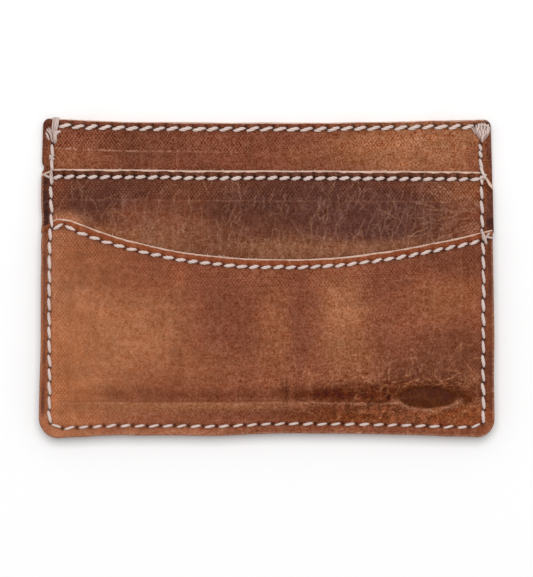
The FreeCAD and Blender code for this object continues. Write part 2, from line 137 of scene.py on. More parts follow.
def hashed(ix, iy, seed):
    """A fixed random value from -1 to 1 for each lattice point."""
    table = np.random.default_rng(seed).uniform(-1.0, 1.0, TABLE_SIZE)
    return table[(ix * HASH_PRIMES[0] ^ iy * HASH_PRIMES[1]) & (TABLE_SIZE - 1)]


def noise(x, y, seed):
    """Smooth value noise from -1 to 1, one lattice cell to each unit."""
    ix = np.floor(x).astype(np.int64)
    iy = np.floor(y).astype(np.int64)
    fx = x - ix
    fy = y - iy
    ux = fx * fx * (3 - 2 * fx)
    uy = fy * fy * (3 - 2 * fy)
    low = hashed(ix, iy, seed) * (1 - ux) + hashed(ix + 1, iy, seed) * ux
    high = hashed(ix, iy + 1, seed) * (1 - ux) + hashed(ix + 1, iy + 1, seed) * ux
    return low * (1 - uy) + high * uy


def noise_along(value, seed):
    """Smooth noise that changes in one direction only."""
    return noise(value, value * 0, seed)


def layered_noise(x, y, seed, octaves=4):
    """Noise with finer and fainter copies of itself added."""
    total = np.zeros_like(np.asarray(x, float))
    weight = 1.0
    for n in range(octaves):
        total += weight * noise(x * 2**n + 17.3 * n, y * 2**n - 9.1 * n, seed + n)
        weight *= 0.5
    return total / 1.6


def smooth_step(value):
    """From 0 to 1 as the value goes from 0 to 1, level at both ends."""
    value = np.clip(value, 0.0, 1.0)
    return value * value * (3 - 2 * value)


def bump_at(value, centre, width):
    """1 where the value is at the centre, and falling to 0 around it."""
    return np.exp(-(((value - centre) / width) ** 2))


# ---------------------------------------------------------------- outline and mouths


def side_reach(y, sign):
    """How far the left or right edge stands from the middle at a height."""
    low = -(BOTTOM_LEFT_DEPTH + BOTTOM_RIGHT_DEPTH) / 2
    share = (y - low) / (UNCUT_HEIGHT - low)
    straight = BOTTOM_HALF_WIDTH * (1 - share) + TOP_HALF_WIDTH * share
    wobble = 0.13 * noise(y / 8.0, y * 0 + 3.5 * sign, 11)
    on_left = 0.18 * bump_at(y, 7.5, 2.2) - 0.28 * bump_at(y, 13, 2.5) - 0.2 * bump_at(y, -23, 7)
    on_right = -0.16 * bump_at(y, -20, 7)
    uneven = np.where(np.asarray(sign) < 0, on_left, on_right)
    return straight + SIDE_BOW * 4 * share * (1 - share) + wobble + uneven


def bottom_edge(x):
    """The height of the bottom edge, a little arched and wavy."""
    share = (x + BOTTOM_HALF_WIDTH) / (2 * BOTTOM_HALF_WIDTH)
    straight = -BOTTOM_LEFT_DEPTH * (1 - share) - BOTTOM_RIGHT_DEPTH * share
    waves = 0.34 * bump_at(x, -36, 9) - 0.28 * bump_at(x, -11, 8)
    waves = waves + 0.14 * bump_at(x, 3, 6) + 0.1 * bump_at(x, 18, 8)
    return straight + BOTTOM_RISE * 4 * share * (1 - share) + waves + 0.06 * noise_along(x / 4.0, 12)


def bowed_edge(x, left, right, dip):
    """A shallow curve between a left and a right height, lowest in the middle."""
    share = (x + PAST_SIDE) / (2 * PAST_SIDE)
    return left * (1 - share) + right * share - dip * 4 * share * (1 - share)


def top_edge(x):
    """The front panel's mouth."""
    raised = 0.12 * smooth_step((x + 34) / 14) + 0.12 * smooth_step((x - 8) / 14)
    raised = raised - 0.14 * bump_at(x, -32, 12) - 0.22 * smooth_step((x - 37) / 9)
    return bowed_edge(x, 35.5, 35.2, 1.05) + raised + 0.05 * noise_along(x / 5.0, 13)


def rear_edge(x):
    """The rear panel's mouth, which shows as a hair above the front panel's."""
    return top_edge(x) + 0.04 + 0.1 * noise_along(x / 9.0, 14)


def straight_edge(x):
    """Nearly straight, with its left corner sloped and its right corner cut off."""
    slope = 1.1 * np.clip((-47.4 - x) / 2.7, 0, 1.2)
    cut = 3.3 * np.clip((x - 48.1) / 2.2, 0, 1.1)
    return bowed_edge(x, 24.2, 23.6, 0.1) + 0.09 * noise_along(x / 6.0, 15) - slope - cut


def scoop_edge(x):
    """Two power curves that meet, level, at the low point, with a rounded shoulder at the left end."""
    left = np.clip((SCOOP_LOW_PLACE - x) / (SCOOP_LOW_PLACE - SCOOP_SHOULDER), 0, 1.4)
    right = np.clip((x - SCOOP_LOW_PLACE) / (BOTTOM_HALF_WIDTH - SCOOP_LOW_PLACE), 0, 1.1)
    rise_left = (SCOOP_LEFT_HEIGHT - SCOOP_LOW_HEIGHT) * left**SCOOP_LEFT_POWER
    rise_right = (SCOOP_RIGHT_HEIGHT - SCOOP_LOW_HEIGHT) * right**SCOOP_RIGHT_POWER
    curve = SCOOP_LOW_HEIGHT + rise_left + rise_right
    cap = SCOOP_LEFT_HEIGHT + 0.02
    rounding = 0.25
    soft = cap - rounding * np.logaddexp(0, (cap - curve) / rounding)
    slope = 1.6 * np.clip((-47.2 - x) / 2.8, 0, 1.1)
    return np.where(x < SCOOP_LOW_PLACE, soft, curve) + 0.05 * noise_along(x / 4.0, 16) - slope


# ---------------------------------------------------------------- stitch lines


def mouth_row(edge, inset, end, pitch, seed):
    """Needle places along a mouth, a steady distance below its edge, slightly uneven as sewn."""
    count = round(2 * end / pitch)
    x = np.linspace(-end, end, count + 1)
    rng = np.random.default_rng(seed)
    x[1:-1] += rng.uniform(-0.08, 0.08, count - 1)
    y = edge(x) - inset + rng.uniform(-0.05, 0.05, count + 1)
    return np.column_stack([x, y])


def seam_line(step):
    """The side and bottom seam as a dense line, from the top left down, across and up the right."""
    left_y = np.arange(SEAM_TOP, -BOTTOM_LEFT_DEPTH + BOTTOM_LEFT_RADIUS, -step)
    left = np.column_stack([-side_reach(left_y, -1) + SEAM_INSET, left_y])
    right_y = np.arange(-BOTTOM_RIGHT_DEPTH + BOTTOM_RIGHT_RADIUS, SEAM_TOP, step)
    right = np.column_stack([side_reach(right_y, 1) - SEAM_INSET, right_y])
    low_end = BOTTOM_HALF_WIDTH - BOTTOM_RIGHT_RADIUS
    low_x = np.arange(-BOTTOM_HALF_WIDTH + BOTTOM_LEFT_RADIUS, low_end, step)
    low = np.column_stack([low_x, bottom_edge(low_x) + SEAM_INSET])
    parts = [left, corner_curve(left[-1], low[0]), low, corner_curve(low[-1], right[0], True), right]
    return np.vstack(parts)


def corner_curve(start, end, level_first=False):
    """A quarter turn between two ends of the seam line."""
    corner = np.array([end[0], start[1]] if level_first else [start[0], end[1]])
    share = np.linspace(0, 1, 30)[1:-1, None]
    return (1 - share) ** 2 * start + 2 * share * (1 - share) * corner + share**2 * end


def along_line(line, pitch, seed):
    """Needle places at even steps along a dense line, slightly uneven as sewn."""
    steps = np.linalg.norm(np.diff(line, axis=0), axis=1)
    lengths = np.concatenate([[0], np.cumsum(steps)])
    count = round(lengths[-1] / pitch)
    targets = np.linspace(0, lengths[-1], count + 1)
    targets[1:-1] += np.random.default_rng(seed).uniform(-0.12, 0.12, count - 1)
    targets = np.insert(targets, count, (targets[-2] + targets[-1]) / 2)
    return np.column_stack([np.interp(targets, lengths, line[:, k]) for k in (0, 1)])


SEAM_LINE = seam_line(0.1)
SEAM_HOLES = along_line(SEAM_LINE, SEAM_PITCH, 21)
TOP_HOLES = mouth_row(top_edge, TOP_ROW_INSET, MOUTH_ROW_END, TOP_PITCH, 22)
STRAIGHT_HOLES = mouth_row(straight_edge, STRAIGHT_ROW_INSET, 47.6, 2.67, 23)
SCOOP_HOLES = mouth_row(scoop_edge, SCOOP_ROW_INSET, 47.4, 2.72, 24)
SCOOP_HOLES[:2, 1] += (-0.35, 0.7)
REAR_HOLES = mouth_row(top_edge, TOP_ROW_INSET, MOUTH_ROW_END, TOP_PITCH, 25)


def nearest(x, y, points, reach):
    """For each place, the distance to the nearest of the points, up to reach."""
    found = np.full(x.shape, reach)
    for px, py in points:
        near = (np.abs(x - px) < reach) & (np.abs(y - py) < reach)
        gap = np.hypot(x[near] - px, y[near] - py)
        found[near] = np.minimum(found[near], gap)
    return found


def pucker(x, y, holes, edge, inset):
    """Where a stitch's pull draws a furrow from its needle hole up to the mouth's edge, from 0 to 1."""
    after = np.clip(np.searchsorted(holes[:, 0], x), 1, len(holes) - 1)
    gap = np.minimum(np.abs(x - holes[after, 0]), np.abs(x - holes[after - 1, 0]))
    above = y - (edge(x) - inset)
    return bump_at(gap, 0, 0.42) * smooth_step(above / 0.3) * smooth_step((inset - above) / 0.5)


def from_seam_line(x, y):
    """The distance to the side and bottom seam, taken from its three near-straight stretches."""
    left = np.abs(x + side_reach(y, -1) - SEAM_INSET)
    right = np.abs(side_reach(y, 1) - SEAM_INSET - x)
    low = np.abs(y - bottom_edge(x) - SEAM_INSET)
    corner = nearest(x, y, SEAM_LINE[::4], 3.0)
    straight = np.minimum(np.minimum(left, right), low)
    in_corner = (y < -29.5) & (np.abs(x) > 44.0)
    return np.where(in_corner, corner, straight)


# ---------------------------------------------------------------- heights


def openness(x, y, edge):
    """How far one card gap is open, from 0 at the seam to 1 over the card, with its mouth drawn in."""
    side = smooth_step((LAND_HALF_WIDTH - np.abs(x)) / (LAND_HALF_WIDTH - CROWN_HALF_WIDTH))
    floor = smooth_step((y + LAND_DEPTH) / (LAND_DEPTH - CROWN_DEPTH))
    drawn_in = 1 - 0.45 * np.exp(-((np.clip(edge(x) - y, 0, None) / 5.0) ** 2))
    return side * floor * drawn_in


GAP_EDGES = [top_edge, straight_edge, scoop_edge]


def common_wave(x, y):
    """The slow waviness that all the sheets share where cards have bent them."""
    inside = smooth_step((49.0 - np.abs(x)) / 8.0) * smooth_step((y + 33.5) / 6.0)
    return inside * 0.16 * layered_noise(x / 17.0 + 3, y / 15.0 + 5, 31, 2)


def sheet_height(layer, x, y):
    """The height of a sheet's upper face before its own relief. Layer 0 is the rear panel."""
    total = (layer + 1) * THICK + np.zeros_like(x)
    for edge in GAP_EDGES[:layer]:
        total = total + GAP * openness(x, y, edge)
    if layer:
        total = total + common_wave(x, y)
    return total


def sheets_at(x, y):
    """How many sheets lie at a place."""
    return 2 + (y < straight_edge(x)).astype(int) + (y < scoop_edge(x)).astype(int)


# ---------------------------------------------------------------- veins and creases

VEIN_STEP = 0.5
VEIN_WIDTH = 0.11
UPRIGHT = math.pi / 2


def vein(rng, x, y, heading, length, wander):
    """One crease as a line of points: a walk that keeps turning a little."""
    points = [(x, y)]
    drift = rng.normal(0, wander)
    for _ in range(max(int(length / VEIN_STEP), 2)):
        drift = 0.6 * drift + rng.normal(0, wander)
        way = heading + drift + rng.normal(0, 0.24)
        x += VEIN_STEP * math.cos(way)
        y += VEIN_STEP * math.sin(way)
        points.append((x, y))
    return np.array(points)


def vein_net(seed, count, box, heading, spread, length, strength):
    """Creases that start inside a box, some with a branch. Each is (points, strength)."""
    rng = np.random.default_rng(seed)
    found = []
    for _ in range(count):
        x = rng.uniform(box[0], box[1])
        y = rng.uniform(box[2], box[3])
        way = heading + rng.normal(0, spread) + (math.pi if rng.random() < 0.5 else 0)
        size = rng.uniform(0.35, 1.0) * length
        weight = strength * rng.uniform(0.35, 1.0)
        points = vein(rng, x, y, way, size, 0.20)
        found.append((points, weight))
        if rng.random() < 0.55:
            start = points[len(points) // 2]
            side = way + rng.choice([-1, 1]) * rng.uniform(0.4, 0.9)
            branch = vein(rng, *start, side, size * 0.5, 0.22)
            found.append((branch, weight * 0.8))
    return found


def vein_fan(seed, count, centre, reach, low, high, length, strength):
    """Creases that run out from a pulled point, between two headings."""
    rng = np.random.default_rng(seed)
    found = []
    for _ in range(count):
        way = rng.uniform(low, high)
        start = rng.uniform(*reach)
        x = centre[0] + start * math.cos(way)
        y = centre[1] + start * math.sin(way)
        points = vein(rng, x, y, way + rng.normal(0, 0.12), rng.uniform(0.4, 1.0) * length, 0.10)
        found.append((points, strength * rng.uniform(0.35, 1.0)))
    return found


def vein_field(x, y, veins):
    """How strongly each place lies on a crease, from 0 to about 1."""
    field = np.zeros(x.shape)
    reach = 3 * VEIN_WIDTH
    for points, weight in veins:
        low, high = points.min(0) - reach, points.max(0) + reach
        near = (x > low[0]) & (x < high[0]) & (y > low[1]) & (y < high[1])
        if not near.any():
            continue
        px, py = x[near], y[near]
        best = np.zeros(px.shape)
        steps = len(points) - 1
        for n in range(steps):
            (ax, ay), (bx, by) = points[n], points[n + 1]
            run = (bx - ax) ** 2 + (by - ay) ** 2
            share = np.clip(((px - ax) * (bx - ax) + (py - ay) * (by - ay)) / run, 0, 1)
            gap = (px - ax - share * (bx - ax)) ** 2 + (py - ay - share * (by - ay)) ** 2
            fading = min(1.0, 0.2 + 3 * min(n + 0.5, steps - n - 0.5) / steps)
            best = np.maximum(best, fading * np.exp(-gap / VEIN_WIDTH**2))
        field[near] = np.maximum(field[near], weight * best)
    return field


# net: seed, count, box (left, right, low, high), heading, spread, length, strength
# fan: seed, count, pulled point, reach, least and greatest heading, length, strength
VEINS = {
    "straight_pocket": (
        vein_net(41, 170, (-45, 45, 5, 21), UPRIGHT - 0.15, 0.3, 8.0, 0.75)
        + vein_net(43, 150, (-30, 44, 4, 22), 1.2, 0.9, 4.0, 0.5)
        + vein_net(38, 70, (12, 40, 6, 20), UPRIGHT - 0.25, 0.25, 7.0, 0.8)
        + vein_fan(42, 75, (51, 14), (3, 16), 2.5, 3.85, 7.0, 1.3)
        + vein_net(50, 90, (-14, 24, 3, 9.5), 0.6, 1.6, 3.0, 0.9)
        + vein_net(51, 34, (-44, 36, 6, 19), UPRIGHT - 0.2, 0.5, 10.0, 1.25)
    ),
    "scoop_pocket": (
        vein_net(44, 80, (-14, 22, -31, 0), UPRIGHT, 0.5, 6.0, 0.4)
        + vein_net(45, 160, (8, 49, -34, -20), 0.35, 0.8, 5.0, 1.35)
        + vein_net(46, 120, (-25, 45, -30, 8), 1.0, 1.2, 4.0, 0.42)
        + vein_net(49, 22, (0, 10, -26, -20), UPRIGHT, 0.1, 6.0, 0.9)
        + vein_net(52, 70, (22, 47, -24, -8), 0.5, 1.3, 4.0, 0.6)
        + vein_net(53, 30, (16, 48, -30, -12), 0.6, 1.0, 9.0, 1.2)
        + vein_fan(39, 50, (50, -26), (2, 9), 2.2, 4.1, 4.0, 1.2)
    ),
    "front_panel": vein_net(47, 40, (-45, 47, 25, 32), 1.3, 1.0, 4.0, 0.3),
    "rear_panel": vein_net(48, 110, (-46, 46, -30, 30), 1.2, 0.9, 10.0, 0.6),
}


# ---------------------------------------------------------------- tones

# red, green and blue as seen, 0 to 255
SHADES = {
    "tan": (182, 119, 85),
    "orange": (169, 106, 70),
    "russet": (151, 90, 57),
    "olive": (137, 86, 58),
    "chestnut": (142, 80, 54),
    "brown": (129, 72, 50),
    "umber": (110, 62, 43),
    "maroon": (91, 53, 43),
    "bark": (80, 32, 15),
    "near_black": (46, 30, 30),
    "raw": (238, 204, 184),
    "amber": (188, 114, 72),
    "rust": (130, 66, 36),
    "ember": (156, 80, 46),
    "copper": (180, 114, 76),
    "dust": (168, 116, 88),
    "pressed": (80, 40, 22),
}

# patches: middle x and y, half sizes, shade, strength
PATCHES = {
    "front_panel": [
        (-28, 29, 10, 5, "umber", 0.75),
        (-44, 26, 8, 2.5, "russet", 0.6),
        (-40, 29, 8, 3, "chestnut", 0.5),
        (-12, 29, 10, 5, "brown", 0.5),
        (21, 26.3, 6, 2.6, "umber", 0.7),
        (7, 26.5, 4, 2.5, "russet", 0.4),
        (33, 29, 15, 7, "orange", 0.85),
        (20, 30, 6, 5, "russet", 0.6),
        (47, 27, 3, 4, "chestnut", 0.6),
        (43, 31, 6, 2.5, "orange", 0.6),
    ],
    "straight_pocket": [
        (-36, 17, 11, 5, "maroon", 0.75),
        (-46, 19, 3, 5, "brown", 0.6),
        (-38, 9, 10, 2.6, "russet", 0.85),
        (-45, 12.6, 4.5, 2.2, "tan", 0.95),
        (-23, 9.5, 11, 4.5, "olive", 0.85),
        (-30, 13, 5, 2.5, "umber", 0.8),
        (-16, 10, 6, 3, "umber", 0.55),
        (-24, 14, 9, 4, "brown", 0.6),
        (-6, 16, 8, 4, "maroon", 0.55),
        (4, 18, 12, 4, "maroon", 0.65),
        (17, 14, 15, 7.5, "maroon", 0.95),
        (28.5, 13, 10, 6.5, "maroon", 0.95),
        (13, 17, 4, 3, "maroon", 0.7),
        (4, 6.5, 12, 2.6, "olive", 0.85),
        (18, 5.9, 9, 1.7, "olive", 0.8),
        (30, 7.2, 7, 1.6, "olive", 0.7),
        (44.5, 15, 5, 7, "brown", 0.75),
        (39.5, 12.2, 5.5, 4.2, "umber", 0.9),
        (36, 13.5, 4, 4, "maroon", 0.6),
        (45, 20, 5, 3, "russet", 0.6),
    ],
    "scoop_pocket": [
        (-46, -12, 7, 26, "tan", 0.95),
        (-37, -13, 12, 13, "orange", 0.95),
        (-47, -20, 6, 9, "amber", 0.4),
        (-42, -22, 8, 8, "orange", 0.6),
        (-38, 4, 9, 5, "russet", 0.6),
        (-25, -11, 9, 9, "orange", 0.7),
        (-26, 1, 8, 5, "chestnut", 0.6),
        (-9, -8, 8, 14, "brown", 0.75),
        (-14, -20, 7, 4, "russet", 0.5),
        (2, -12, 4, 10, "russet", 0.55),
        (7.5, -13, 2.6, 9, "brown", 0.85),
        (8.5, -3, 4, 6, "brown", 0.6),
        (17, -8, 5.2, 10, "orange", 0.85),
        (20, -16, 5, 6, "russet", 0.8),
        (29, -15, 7.5, 9, "brown", 0.75),
        (26, 0.5, 8, 5, "brown", 0.75),
        (40, -4, 7, 5, "russet", 0.7),
        (40, 4, 10, 4.5, "brown", 0.85),
        (42, 5.5, 9, 3.5, "umber", 0.55),
        (15, 1, 5, 3, "chestnut", 0.6),
        (-13, 2, 6, 3, "brown", 0.4),
        (42, -19, 9, 8, "umber", 0.75),
        (33, -21, 7, 4, "umber", 0.7),
        # the two dark patches along y -25 add to the painted shade above the card's lower edge
        (36, -25.5, 15, 3.4, "bark", 0.75),
        (19, -25, 10, 2.2, "bark", 0.5),
        (-34, -29.5, 18, 2.6, "tan", 0.55),
        (-43, -28.5, 8, 4.5, "amber", 0.5),
        (-27, -31, 6, 2, "chestnut", 0.45),
        (0, -30.5, 14, 1.8, "brown", 0.55),
        (24, -30.5, 17, 2.4, "rust", 0.8),
        (16, -30.5, 9, 2.4, "bark", 0.35),
        (32, -30.3, 5, 2.0, "chestnut", 0.5),
        (43, -30.5, 8, 2.8, "rust", 0.85),
        (-28, -34.4, 22, 1.2, "tan", 0.6),
        (49.6, -1, 1.3, 8, "maroon", 0.75),
        (49.6, -21, 1.2, 4.5, "maroon", 0.7),
        (24, -34.4, 24, 1.2, "brown", 0.7),
    ],
    "rear_panel": [
        (-30, 15, 20, 16, "orange", 0.7),
        (22, -12, 22, 18, "brown", 0.8),
        (30, 22, 14, 9, "umber", 0.7),
        (-24, -20, 18, 9, "umber", 0.6),
        (2, 4, 12, 22, "russet", 0.7),
    ],
}
GROUND_SHADES = {
    "front_panel": "brown",
    "straight_pocket": "umber",
    "scoop_pocket": "chestnut",
    "rear_panel": "chestnut",
}


def linear(shade):
    """A shade as linear red, green and blue."""
    value = np.array(SHADES[shade], float) / 255
    return np.where(value <= 0.04045, value / 12.92, ((value + 0.055) / 1.055) ** 2.4)


GLOSS = 0.009
LIGHT_LEVEL = np.array([1.17, 1.20, 1.21])


def under_gloss(tone):
    """The shades are named as they are seen, so this takes off the white that the gloss adds."""
    return np.maximum((tone - GLOSS) / LIGHT_LEVEL, 0.001)


def mixed(tone, shade, amount):
    """The tone of each place moved towards a shade."""
    amount = np.clip(amount, 0, 1)[..., None]
    return tone * (1 - amount) + linear(shade) * amount


def leather_tone(name, x, y, places):
    """The leather's colour at each place."""
    wx = x + 1.8 * layered_noise(x / 6, y / 6, 51, 4)
    wy = y + 1.1 * layered_noise(x / 6 + 9, y / 5, 52, 4)
    tone = np.broadcast_to(linear(GROUND_SHADES[name]), x.shape + (3,)).copy()
    for px, py, rx, ry, shade, strength in PATCHES[name]:
        reach = ((wx - px) / rx) ** 2 + ((wy - py) / ry) ** 2
        tone = mixed(tone, shade, strength * np.exp(-(reach**1.6) * 0.8))
    cloud = layered_noise(x / 5.0, y / 5.0, 53, 4)
    streak = layered_noise(x / 9.0, y / 0.9, 54, 3)
    upright = layered_noise(x / 1.1, y / 9.0, 55, 3)
    fine = layered_noise(x / 1.2, y / 1.2, 56, 3)
    gain = 1 + 0.12 * cloud + 0.10 * streak + 0.07 * upright + 0.13 * fine
    tone = tone * np.clip(gain, 0.4, 1.7)[..., None]
    return colour_details(name, tone, x, y, places)


def colour_details(name, tone, x, y, places):
    """Edges, seams, holes, creases and furrows over the plain tone, with painted shade in the stitch
    grooves, the furrows and the needle holes.
    """
    keys = ("veins", "edge", "row", "hole", "seam", "pucker")
    veins, edge_gap, row_gap, hole_gap, seam_gap, furrow = (places[key] for key in keys)
    tone = mixed(tone, "copper" if name == "scoop_pocket" else "dust", 0.62 * veins)
    # the burnished band along the side edges
    patchy = np.clip(0.6 + 0.7 * layered_noise(x / 1.5, y / 2.5, 57, 3), 0, 1)
    beside = smooth_step((np.abs(x) - 47.5) / 1.5) * smooth_step((y + 32) / 3)
    tone = mixed(tone, "rust", 0.55 * bump_at(edge_gap, 1.1, 0.9) * beside)
    tone = mixed(tone, "maroon", 0.85 * bump_at(edge_gap, 0.8, 0.5) * patchy * beside)
    if name == "straight_pocket":
        margin = smooth_step((2.0 - edge_gap) / 0.7) * smooth_step((22.5 - y) / 1.5)
        patchy = np.clip(0.62 + 0.55 * layered_noise(x / 4, y / 2.2, 66, 3), 0.1, 1)
        low_end = np.where(x > 0, smooth_step((14.2 - y) / 2.0), 1.0)
        tone = mixed(tone, "maroon", 0.7 * margin * patchy)
        tone = mixed(tone, "near_black", 0.9 * margin * patchy * low_end)
    if name == "front_panel":
        tone = mixed(tone, "maroon", smooth_step((1.2 - edge_gap) / 0.9) * 0.75 * patchy)
    elif name == "scoop_pocket":
        tone = mixed(tone, "dust", 0.6 * smooth_step((0.5 - edge_gap) / 0.25))
    elif name == "straight_pocket":
        tone = mixed(tone, "dust", 0.9 * smooth_step((0.45 - edge_gap) / 0.15) * (x < 0))
    # the thin pale lines that the presser foot's edge left
    rubbed = np.clip(0.5 + 0.8 * layered_noise(x / 4.0, y / 4.0, 67, 3), 0, 1)
    track_edge = bump_at(row_gap, FOOT_MARK_WIDTH, 0.14) if name != "rear_panel" else 0.0
    tone = mixed(tone, "tan", 0.28 * rubbed * track_edge)
    if name == "front_panel":
        here = smooth_step((-4 - x) / 24) * smooth_step((x + 47.2) / 1.0)
        broken = np.clip(0.6 + 0.8 * layered_noise(x / 0.9, y * 0, 68, 2), 0, 1)
        tone = mixed(tone, "tan", 0.7 * here * broken * track_edge)
        tone = mixed(tone, "raw", 0.12 * here * broken * track_edge)
    elif name == "scoop_pocket":
        tone = mixed(tone, "tan", 0.3 * rubbed * bump_at(seam_gap, FOOT_MARK_WIDTH, 0.2))
    # painted shade: the leather is darkened beside the stitch rows and along the seam, in the furrows and
    # in the needle holes
    tone = tone * (1 - 0.30 * bump_at(row_gap, 0, 0.75) - 0.06 * bump_at(row_gap, -1.1, 0.5))[..., None]
    tone = tone * (1 - 0.08 * bump_at(seam_gap, 0, 0.7))[..., None]
    tone = tone * (1 - 0.45 * furrow)[..., None]
    tone = mixed(tone, "near_black", 0.95 * bump_at(hole_gap, 0, HOLE_RADIUS))
    if name == "scoop_pocket":
        tone = mixed(tone, "ember", 0.5 * smooth_step((-row_gap + 0.2) / 0.6))
        tone = fold_light_and_shade(tone, x, y)
        tone = stamp_tones(tone, x, y)
    return tone


def fold_creases(x, y):
    """Close upright creases that cross the fold left of the middle."""
    return layered_noise(x / 0.55, y / 7.0, 60, 2) * bump_at(x, 4.6, 3.4) * bump_at(y, -24.2, 2.6)


def pebbles(x, y):
    """The coarse wrinkled grain of the lower right."""
    return layered_noise(x / 0.9, y / 0.7, 64, 3) * bump_at(x, 30, 20) * bump_at(y, -28, 5)


def fold_light_and_shade(tone, x, y):
    """The card's lower edge: a pale ridge painted as a highlight, painted shade above it, and the upright
    creases that cross it.
    """
    inside = smooth_step((47 - np.abs(x)) / 3)
    crest = y + CARD_DEPTH + 0.15 * noise_along(x / 8, 58)
    patchy = np.clip(0.75 + 0.4 * layered_noise(x / 4, y / 2, 65, 3), 0, 1)
    deeper = 0.22 + 0.30 * smooth_step((x + 41) / 8) + 0.4 * smooth_step((x + 8) / 20)
    tone = mixed(tone, "bark", deeper * bump_at(crest, 2.0, 1.8) * inside * patchy)
    tone = mixed(tone, "orange", 0.8 * bump_at(crest, -0.5, 0.9) * inside * smooth_step((16 - x) / 26))
    tone = mixed(tone, "bark", 0.3 * bump_at(crest, 0.55, 0.25) * inside)
    broken = np.clip(0.7 + 0.5 * noise_along(x / 3, 59), 0, 1)
    tone = mixed(tone, "tan", 0.7 * bump_at(crest, 0, 0.2) * smooth_step((33 - x) / 6) * broken * inside)
    # painted light and shade on the creases and the pebbled grain, following their relief
    tone = tone * np.clip(1 + 0.6 * fold_creases(x, y), 0.3, 1.8)[..., None]
    return tone * np.clip(1 + 0.85 * pebbles(x, y), 0.3, 1.9)[..., None]


def stamp_tones(tone, x, y):
    """The stamp's floor is darkened by the press. Its wall carries painted shade above and catches light
    below as a painted highlight.
    """
    floor, rim = stamp_depth(x, y)
    up = (y - STAMP_PLACE[1]) / STAMP_HALF_SIZE[1]
    tone = mixed(tone, "pressed", 0.75 * floor)
    tone = mixed(tone, "pressed", 0.6 * rim * smooth_step(0.5 + up))
    return mixed(tone, "tan", 0.5 * rim * smooth_step(0.3 - up))


# ---------------------------------------------------------------- relief


def stamp_depth(x, y):
    """A plain oval pressed into the leather: a flat floor, a sharp wall and a slightly raised rim."""
    across = (x - STAMP_PLACE[0]) / STAMP_HALF_SIZE[0]
    up = (y - STAMP_PLACE[1]) / STAMP_HALF_SIZE[1]
    gap = (np.hypot(across, up) - 1) * STAMP_HALF_SIZE[1]
    floor = smooth_step(0.5 - gap / 0.3)
    return floor, bump_at(gap, 0.35, 0.28)


def relief(name, x, y, places):
    """How far the leather's outer face stands off its even surface, outward."""
    keys = ("veins", "row", "hole", "seam", "lip", "pucker")
    veins, row_gap, hole_gap, seam_gap, lip_gap, furrow = (places[key] for key in keys)
    height = -0.055 * veins - 0.20 * bump_at(row_gap, 0, 0.42) - 0.24 * bump_at(seam_gap, 0, 0.5)
    height = height - 0.34 * bump_at(hole_gap, 0, HOLE_RADIUS) - 0.14 * furrow
    # the leather puffs up a little beside the stitches
    height = height + 0.05 * bump_at(row_gap, 1.1, 0.6) + 0.04 * bump_at(row_gap, -0.9, 0.4)
    # the edge of the presser foot's track
    height = height - 0.045 * bump_at(row_gap, FOOT_MARK_WIDTH, 0.16) * (name != "rear_panel")
    # the grain, and the mouth thinned by wear
    height = height + 0.05 * layered_noise(x / 1.5, y / 1.5, 61, 3)
    height = height + 0.03 * layered_noise(x / 0.6, y / 0.6, 62, 2)
    height = height - 0.05 * smooth_step(1 - lip_gap / 1.2)
    if name == "scoop_pocket":
        # the card's outline, the creases and grain along its lower edge, and the stamp
        inside = smooth_step((46 - np.abs(x)) / 3)
        height = height + inside * 0.13 * bump_at(y, -CARD_DEPTH, 0.3)
        height = height - inside * 0.10 * bump_at(y, -CARD_DEPTH + 1.6, 0.9)
        height = height + 0.07 * bump_at(np.abs(x), CARD_HALF_WIDTH, 0.7) * smooth_step((y + 28) / 2)
        height = height + 0.16 * fold_creases(x, y) + 0.08 * pebbles(x, y)
        floor, rim = stamp_depth(x, y)
        height = height * (1 - 0.7 * floor) - 0.30 * floor + 0.06 * rim
    if name == "rear_panel":
        # the face that the holder lies on: its highest grain touches the floor
        height = height - 0.09
    return height


# ---------------------------------------------------------------- leather sheets


def march(start, end, step_at):
    """Places from start to end, with a spacing that step_at gives."""
    places = [start]
    while places[-1] < end:
        places.append(places[-1] + step_at(places[-1]))
    places = np.array(places)
    return start + (places - start) * (end - start) / (places[-1] - start)


# grid lines close to an edge, and how the mouth's rounded lip runs from the face to the edge
EDGE_STEPS = np.array([0.0, 0.05, 0.12, 0.21, 0.34, 0.52, 0.75])
LIP_SHARES = np.array([0.0, 0.02, 0.12, 0.34, 0.6, 0.84, 1.0])
LIP_DROPS = np.array([0.0, 0.05, 0.16, 0.38, 0.62, 0.82, 0.9]) * THICK
# the wall between the faces: share of the way down, and how far it lies inside the outline
WALL_RINGS = [(0.3, -0.03), (0.65, -0.02), (0.93, 0.03), (1.0, 0.14)]
# how much wider than the outline a sheet was cut, left and right
SIDE_EXTRA = {"rear_panel": (0.12, 0.32), "front_panel": (0.12, 0.32), "straight_pocket": (0.1, 0.4)}
# rows of the grid: how far apart where they are coarse, and the height that fine_from is counted from
COARSE_ROW = 1.1
ROWS_FROM = -35.0
FINE_ALL_OVER = -36.0
# an inner face's cells: how many grid rows and columns each one spans
INNER_CELL = (14, 12)
# material slots of a sheet
FACE, PALE_EDGE, DARK_EDGE, INNER = range(4)


def column_places(step):
    """Grid columns from the left edge to the right edge, crowded at the edges."""
    reach = BOTTOM_HALF_WIDTH
    middle = march(-reach + 1.0, reach - 1.0, lambda _: step)
    return np.concatenate([-reach + EDGE_STEPS, middle, reach - EDGE_STEPS[::-1]])


